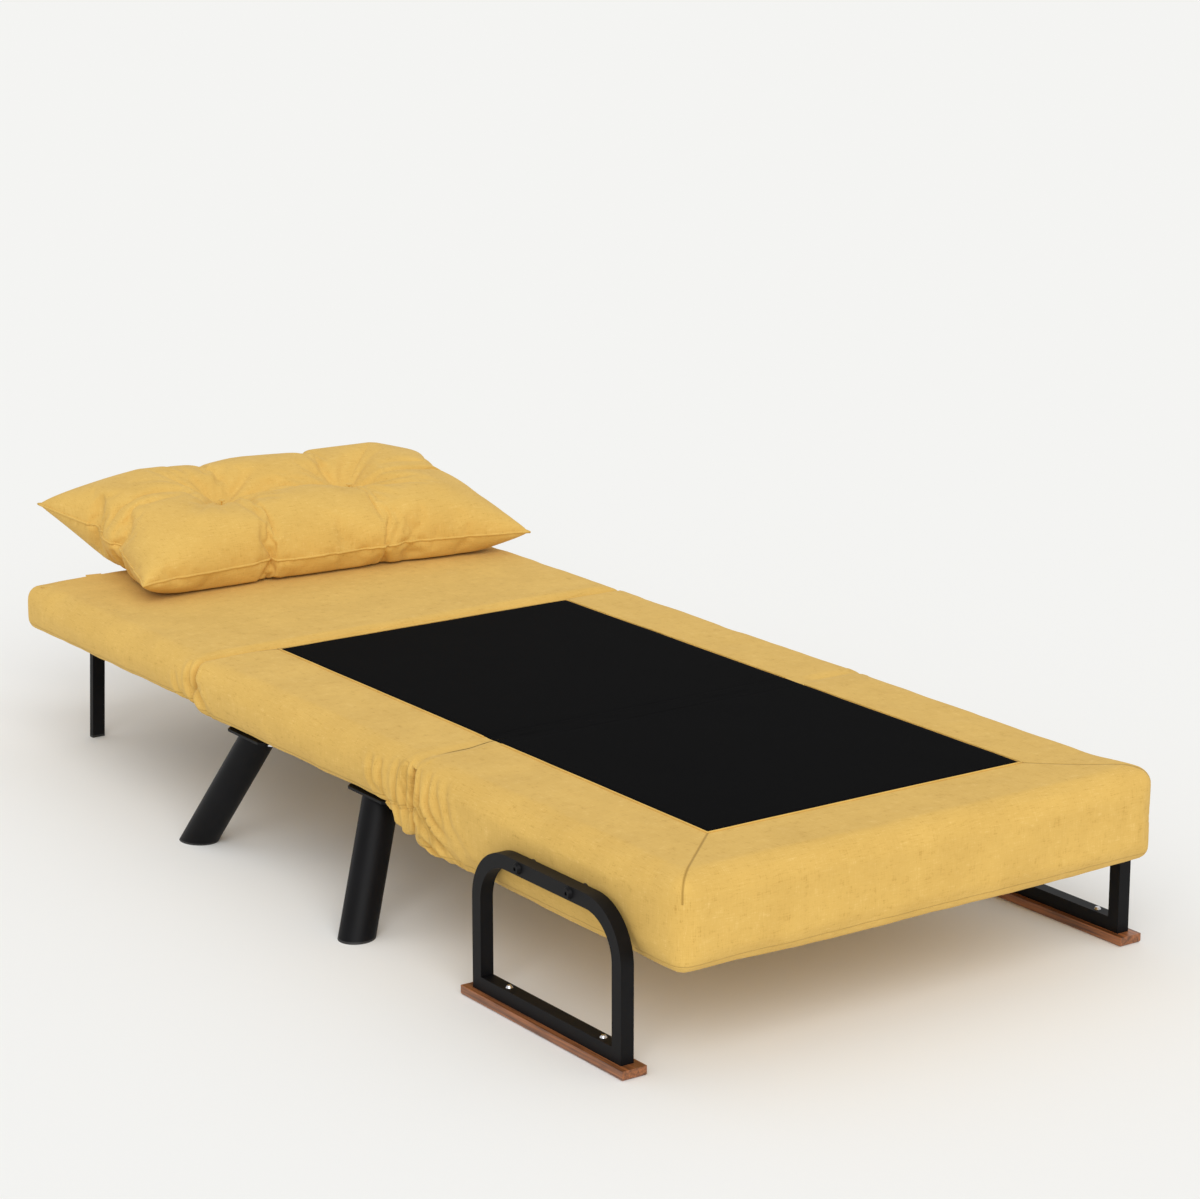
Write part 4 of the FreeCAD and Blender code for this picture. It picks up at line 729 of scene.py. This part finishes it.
class ChairBedBack(bpy.types.Operator):
    """Make the back section's upholstered cushion"""
    bl_idname = "chair_bed.back_section"
    bl_label = "Back section"

    def execute(self, context):
        obj = make_cushion("back_cushion", at(1.247), at(1.829), 0.200, (0.018, 0.012, 0.018, 0.020), 0.0,
                           tilt_gathers, 8)
        dress(obj, "back_cloth")
        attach(obj, "back")
        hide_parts("back_cover", "back_foam", "back_edge_pads")
        return {"FINISHED"}


def surface(obj):
    """Search tree of a piece's faces."""
    return BVHTree.FromPolygons([v.co for v in obj.data.vertices], [f.vertices for f in obj.data.polygons])


def height_over(tree, x, y):
    """Height of the topmost face over a place."""
    hit = tree.ray_cast(Vector((x, y, 0.5)), Vector((0, 0, -1)))[0]
    return hit.z if hit else slab_top


def lay_on_cushion(obj, tree, lift, drop_edges=()):
    """Lay a grid on a cushion's top, and turn the named edges down."""
    co = points_of(obj)
    x, y, z = co.T
    over = np.array([height_over(tree, px, py) for px, py, _ in co]) + lift
    over += wander(co, 11.0, 2) * 0.0003
    for edge, way in drop_edges:
        gap = (y - edge) * way
        over -= 0.0022 * (1 - ease(gap, 0.0, 0.004))
    over -= 0.0022 * ease(np.abs(x), panel_half - 0.004, panel_half)
    co[:, 2] = over
    set_points(obj, co)
    smooth(obj)


class ChairBedPanels(bpy.types.Operator):
    """Make the black lining panels, their rolled edge and the strips over the fold"""
    bl_idname = "chair_bed.lining_panels"
    bl_label = "Lining panels"

    def execute(self, context):
        foot = surface(bpy.data.objects["foot_cushion"])
        seat = surface(bpy.data.objects["seat_cushion"])
        for name, body, y0, y1, ends, node, tree in (
            ("foot_panel", "foot", at(panel_start), at(0.6015), [(at(panel_start), 1)], "foot_lining", foot),
            ("seat_panel", "root", at(0.6445), at(panel_end), [(at(panel_end), -1)], "seat_lining", seat),
        ):
            obj = sheet_grid(name, -panel_half, panel_half, y0, y1, slab_top, 0.006)
            lay_on_cushion(obj, tree, 0.0014, ends)
            dress(obj, "lining")
            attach(obj, body)
            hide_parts(node)
        for name, y0, y1, a, b, start, end in (
            ("fold_strip_seat", 0.6228, 0.652, "root", "fold_link", 0.651, 0.623),
            ("fold_strip_foot", 0.594, 0.6232, "fold_link", "foot", 0.623, 0.595),
        ):
            for kind, half, finish, lift in (("cloth", half_width - 0.004, "upholstery", 0.0008),
                                             ("lining", panel_half, "lining", 0.0016)):
                obj = sheet_grid(name + "_" + kind, -half, half, at(y0), at(y1), slab_top, 0.004)
                co = points_of(obj)
                x, y, z = co.T
                for i, (px, py, _) in enumerate(co):
                    tree, edge = (foot, min(py, at(0.604))) if py < at(fold_y) else (seat, max(py, at(0.642)))
                    co[i, 2] = height_over(tree, px, edge) + lift
                co[:, 2] -= 0.0024 * ease(np.abs(y - at(fold_y)), 0.020, 0.0285)
                if kind == "cloth":
                    co[:, 2] -= 0.0035 * np.exp(-((y - at(fold_y)) / 0.010) ** 2) * ease(np.abs(x), 0.27, 0.31)
                else:
                    co[:, 2] -= 0.0022 * ease(np.abs(x), panel_half - 0.004, panel_half)
                set_points(obj, co)
                smooth(obj)
                dress(obj, finish)
                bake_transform(obj)
        self.welt("foot_panel_welt", "foot", [(-panel_half, 0.600), (-panel_half, panel_start),
                                              (panel_half, panel_start), (panel_half, 0.600)], foot)
        self.welt("seat_panel_welt", "root", [(-panel_half, 0.646), (-panel_half, panel_end),
                                              (panel_half, panel_end), (panel_half, 0.646)], seat)
        return {"FINISHED"}

    def welt(self, name, body, corners, tree):
        """Rolled edge that follows the panel's outline over the cushion's crown."""
        path = []
        for (ax, ay), (bx, by) in zip(corners, corners[1:]):
            steps = max(2, int(np.hypot(bx - ax, by - ay) / 0.02))
            path += [(ax + (bx - ax) * i / steps, ay + (by - ay) * i / steps) for i in range(steps)]
        path.append(corners[-1])
        line = bpy.data.curves.new(name, "CURVE")
        line.dimensions = "3D"
        line.bevel_depth = sizes().welt
        line.bevel_resolution = 2
        line.use_fill_caps = True
        spline = line.splines.new("POLY")
        spline.points.add(len(path) - 1)
        for point, (px, py) in zip(spline.points, path):
            point.co = (px, at(py), height_over(tree, px, at(py)) + 0.0006, 1)
        obj = bpy.data.objects.new(name, line)
        bpy.context.scene.collection.objects.link(obj)
        take(obj)
        bpy.ops.object.convert(target="MESH")
        obj = bpy.context.object
        smooth(obj)
        dress(obj, "upholstery")
        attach(obj, body)


class ChairBedHangingFold(bpy.types.Operator):
    """Make the gathered fold of spare cloth under the front edge of the seat section"""
    bl_idname = "chair_bed.hanging_fold"
    bl_label = "Hanging fold"

    def execute(self, context):
        y0, y1 = at(0.6255), at(0.702)
        wide = half_width - 0.001
        obj = padded_block("hanging_fold", -wide, wide, y0, y1, 0.165, 0.200, 0.005)
        co = points_of(obj)
        core = np.clip(co, [-wide + 0.010, y0 + 0.012, 0.179], [wide - 0.010, y1 - 0.012, 0.190])
        off = co - core
        reach = np.stack([np.full(len(co), 0.010), np.full(len(co), 0.012),
                          np.where(co[:, 2] < 0.185, 0.014, 0.010)], 1)
        long = np.linalg.norm(off / reach, axis=1)
        long[long < 1e-9] = 1
        co = core + off / long[:, None]
        x, y, z = co.T
        low = ease(0.195 - z, 0.0, 0.025)
        back = (y - y0) / (y1 - y0)
        hang = 0.006 * np.exp(-((back - 0.22) / 0.3) ** 2) - 0.020 * ease(back, 0.35, 1.0)
        ripples = 0.0022 * np.sin(x * 46 + 7 * back) * np.sin(x * 19 + 1) + 0.0016 * np.sin(back * 19 + x * 9)
        co[:, 2] -= low * (hang + ripples)
        side = ease(np.abs(x), wide - 0.03, wide - 0.004)
        dent = gather(y - foot_end, z, fold_gathers, sizes().crease)
        co[:, 0] -= np.sign(x) * dent * side
        set_points(obj, co)
        smooth(obj)
        dress(obj, "upholstery")
        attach(obj, "root")
        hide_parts("fold_gusset")
        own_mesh(obj)
        return {"FINISHED"}


class ChairBedPillow(bpy.types.Operator):
    """Make the tufted pillow as a sewn cloth case filled with air, with its piped seam"""
    bl_idname = "chair_bed.pillow"
    bl_label = "Pillow"

    def execute(self, context):
        a, b = 0.375, 0.222
        cell = 0.0058
        obj = padded_block("pillow_case", -a, a, -b, b, -0.002, 0.002, cell)
        co = points_of(obj)
        x, y, z = co.T
        dome = np.sqrt(np.clip(1 - (x / a) ** 2, 0, 1)) * np.sqrt(np.clip(1 - (y / b) ** 2, 0, 1))
        co[:, 2] = np.sign(z) * (0.0015 + 0.040 * dome)
        flat = points_of(obj)
        set_points(obj, co)
        self.inflate(obj, flat)
        co = points_of(obj)
        edge = (np.abs(np.abs(flat[:, 0]) - a) < 1e-5) | (np.abs(np.abs(flat[:, 1]) - b) < 1e-5)
        co[:, :2] -= (co[edge].max(0)[:2] + co[edge].min(0)[:2]) / 2
        reach = np.abs(co[edge]).max(0)
        co[:, 0] *= 0.362 / reach[0]
        co[:, 1] *= 0.211 / reach[1]
        top = co[:, 2].max()
        up = co[:, 2] > 0
        co[up, 2] *= 0.078 / top
        co[~up, 2] *= 0.078 / top
        turn = Matrix.Rotation(radians(-3.5), 3, "Z") @ Matrix.Rotation(radians(7.8), 3, "X")
        co = co @ np.array(turn).T + np.array([0.052, at(1.752), 0.341])
        rest = slab_top + 0.0078
        sunk = np.clip(rest + 0.004 - co[:, 2], 0, None)
        co[:, 2] = np.where(co[:, 2] < rest + 0.004, rest + 0.004 * np.exp(-sunk / 0.004), co[:, 2])
        set_points(obj, co)
        ring = self.seam(flat, a, b, co, edge)
        sub = obj.modifiers.new("even", "SUBSURF")
        sub.levels = 1
        sub.render_levels = 1
        take(obj)
        bpy.ops.object.modifier_apply(modifier="even")
        self.press_folds(obj, turn)
        smooth(obj)
        dress(obj, "upholstery")
        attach(obj, "pillow")
        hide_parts("pillow_cover", "pillow_filling")
        self.piping(ring)
        return {"FINISHED"}

    def press_folds(self, obj, turn):
        """Press folds that run out from the two tufts into the case."""
        turn = np.array(turn)
        centre = np.array([0.052, at(1.752), 0.341])
        local = (points_of(obj) - centre) @ turn
        draw = np.random.default_rng(7)
        drop = np.zeros(len(local))
        for side in (-1, 1):
            dx, dy = local[:, 0] - side * 0.117, local[:, 1]
            r = np.hypot(dx, dy)
            for k in range(9):
                angle = radians(-90 + 40 * k + draw.uniform(-13, 13))
                reach = draw.uniform(0.09, 0.18)
                depth = draw.uniform(0.0016, 0.0034) * (1.35 if np.sin(angle) < 0 else 0.9)
                along = dx * np.cos(angle) + dy * np.sin(angle)
                across = dy * np.cos(angle) - dx * np.sin(angle) + 0.012 * np.sin(along * 22 + k)
                wide = 0.0042 + 0.03 * np.clip(along, 0, 0.2)
                fade = ease(along, 0.006, 0.03) * (1 - ease(r, reach * 0.55, reach))
                drop += depth * fade * (np.exp(-(across / wide) ** 2) - 0.4 * np.exp(-((across - 2 * wide) / wide) ** 2))
        local[:, 2] -= drop * ease(local[:, 2], 0.004, 0.02)
        set_points(obj, local @ turn.T + centre)

    def inflate(self, obj, flat):
        """Blow the case up with its tufts held."""
        take(obj)
        held = obj.vertex_groups.new(name="held")
        r = np.minimum(np.hypot(flat[:, 0] - 0.12, flat[:, 1]), np.hypot(flat[:, 0] + 0.12, flat[:, 1]))
        held.add([int(i) for i in np.nonzero(r < 0.009)[0]], 1.0, "REPLACE")
        cloth = obj.modifiers.new("case", "CLOTH")
        s = cloth.settings
        s.quality = 5
        s.mass = 0.2
        s.tension_stiffness = 30
        s.compression_stiffness = 30
        s.shear_stiffness = 8
        s.bending_stiffness = 0.15
        s.use_pressure = True
        s.uniform_pressure_force = sizes().pillow_pressure
        s.shrink_min = -0.05
        s.vertex_group_mass = "held"
        s.effector_weights.gravity = 0
        s.air_damping = 3
        cloth.collision_settings.use_collision = False
        cloth.point_cache.frame_start = 1
        cloth.point_cache.frame_end = 40
        for step in range(1, 29):
            bpy.context.scene.frame_set(step)
        bpy.ops.object.modifier_apply(modifier="case")
        bpy.context.scene.frame_set(1)
        obj.vertex_groups.clear()

    def seam(self, flat, a, b, co, edge):
        """Points round the sewn edge, in order."""
        angle = np.arctan2(flat[edge, 1] / b, flat[edge, 0] / a)
        order = np.argsort(angle)
        line = co[edge][order]
        keyed = np.round(angle[order], 4)
        ring = [line[keyed == k].mean(0) for k in np.unique(keyed)]
        return ring

    def piping(self, ring):
        """Corded seam round the pillow."""
        line = bpy.data.curves.new("pillow_seam", "CURVE")
        line.dimensions = "3D"
        line.bevel_depth = 0.0022
        line.bevel_resolution = 2
        spline = line.splines.new("POLY")
        spline.points.add(len(ring) - 1)
        for point, place in zip(spline.points, ring):
            point.co = (*place, 1)
        spline.use_cyclic_u = True
        obj = bpy.data.objects.new("pillow_seam", line)
        bpy.context.scene.collection.objects.link(obj)
        take(obj)
        bpy.ops.object.convert(target="MESH")
        obj = bpy.context.object
        smooth(obj)
        dress(obj, "upholstery")
        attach(obj, "pillow")


class ChairBedStage(bpy.types.Operator):
    """Make the pale floor, the soft lights and the camera"""
    bl_idname = "chair_bed.stage"
    bl_label = "Stage"

    def execute(self, context):
        clear_selection()
        bpy.ops.mesh.primitive_plane_add(size=120, location=(0, 20, 0))
        floor = bpy.context.object
        floor.name = "studio_floor"
        mat = bpy.data.materials.new("pale_floor")
        mat.use_nodes = True
        shader = mat.node_tree.nodes["Principled BSDF"]
        shader.inputs["Base Color"].default_value = (*colours().floor, 1)
        shader.inputs["Roughness"].default_value = 0.9
        shader.inputs["Specular IOR Level"].default_value = 0.0
        floor.data.materials.append(mat)
        world = bpy.data.worlds.new("studio")
        bpy.context.scene.world = world
        world.use_nodes = True
        world.node_tree.nodes["Background"].inputs["Color"].default_value = (1, 1, 1, 1)
        world.node_tree.nodes["Background"].inputs["Strength"].default_value = 0.72
        context.scene.view_settings.view_transform = "Standard"
        lamp = bpy.data.lights.new("key_light", "SUN")
        lamp.energy = 1.5
        lamp.angle = radians(50)
        sun = bpy.data.objects.new("key_light", lamp)
        bpy.context.scene.collection.objects.link(sun)
        sun.rotation_euler = Vector((0.42, 0.74, -0.62)).to_track_quat("-Z", "Y").to_euler()
        lens = bpy.data.cameras.new("camera")
        lens.lens = 102.138
        lens.sensor_width = 36
        lens.clip_end = 200
        camera = bpy.data.objects.new("camera", lens)
        bpy.context.scene.collection.objects.link(camera)
        camera.location = (-2.74626, -4.169554, 1.63453)
        camera.rotation_euler = (radians(75.7182), 0, radians(-35.0016))
        bpy.context.scene.camera = camera
        return {"FINISHED"}


steps = (ChairBedFrameFinishes, ChairBedFoot, ChairBedSeat, ChairBedBack, ChairBedPanels, ChairBedHangingFold,
         ChairBedPillow, ChairBedStage)


class ChairBedPanel(bpy.types.Panel):
    """Lists the steps that dress the chair bed"""
    bl_idname = "VIEW3D_PT_chair_bed"
    bl_label = "Chair bed"
    bl_space_type = "VIEW_3D"
    bl_region_type = "UI"
    bl_category = "Chair bed"

    def draw(self, context):
        for step in steps:
            self.layout.operator(step.bl_idname)


classes = (ChairBedSizes, ChairBedColours, *steps, ChairBedPanel)


def register():
    for cls in classes:
        bpy.utils.register_class(cls)
    bpy.types.Scene.chair_bed_sizes = bpy.props.PointerProperty(type=ChairBedSizes)
    bpy.types.Scene.chair_bed_colours = bpy.props.PointerProperty(type=ChairBedColours)


def unregister():
    del bpy.types.Scene.chair_bed_colours
    del bpy.types.Scene.chair_bed_sizes
    for cls in reversed(classes):
        bpy.utils.unregister_class(cls)


def main():
    """Dress the whole bed."""
    register()
    bpy.ops.chair_bed.frame_finishes()
    bpy.ops.chair_bed.foot_section()
    bpy.ops.chair_bed.seat_section()
    bpy.ops.chair_bed.back_section()
    bpy.ops.chair_bed.lining_panels()
    bpy.ops.chair_bed.hanging_fold()
    bpy.ops.chair_bed.pillow()
    bpy.ops.chair_bed.stage()
    clear_selection()


if __name__ == "__main__":
    main()
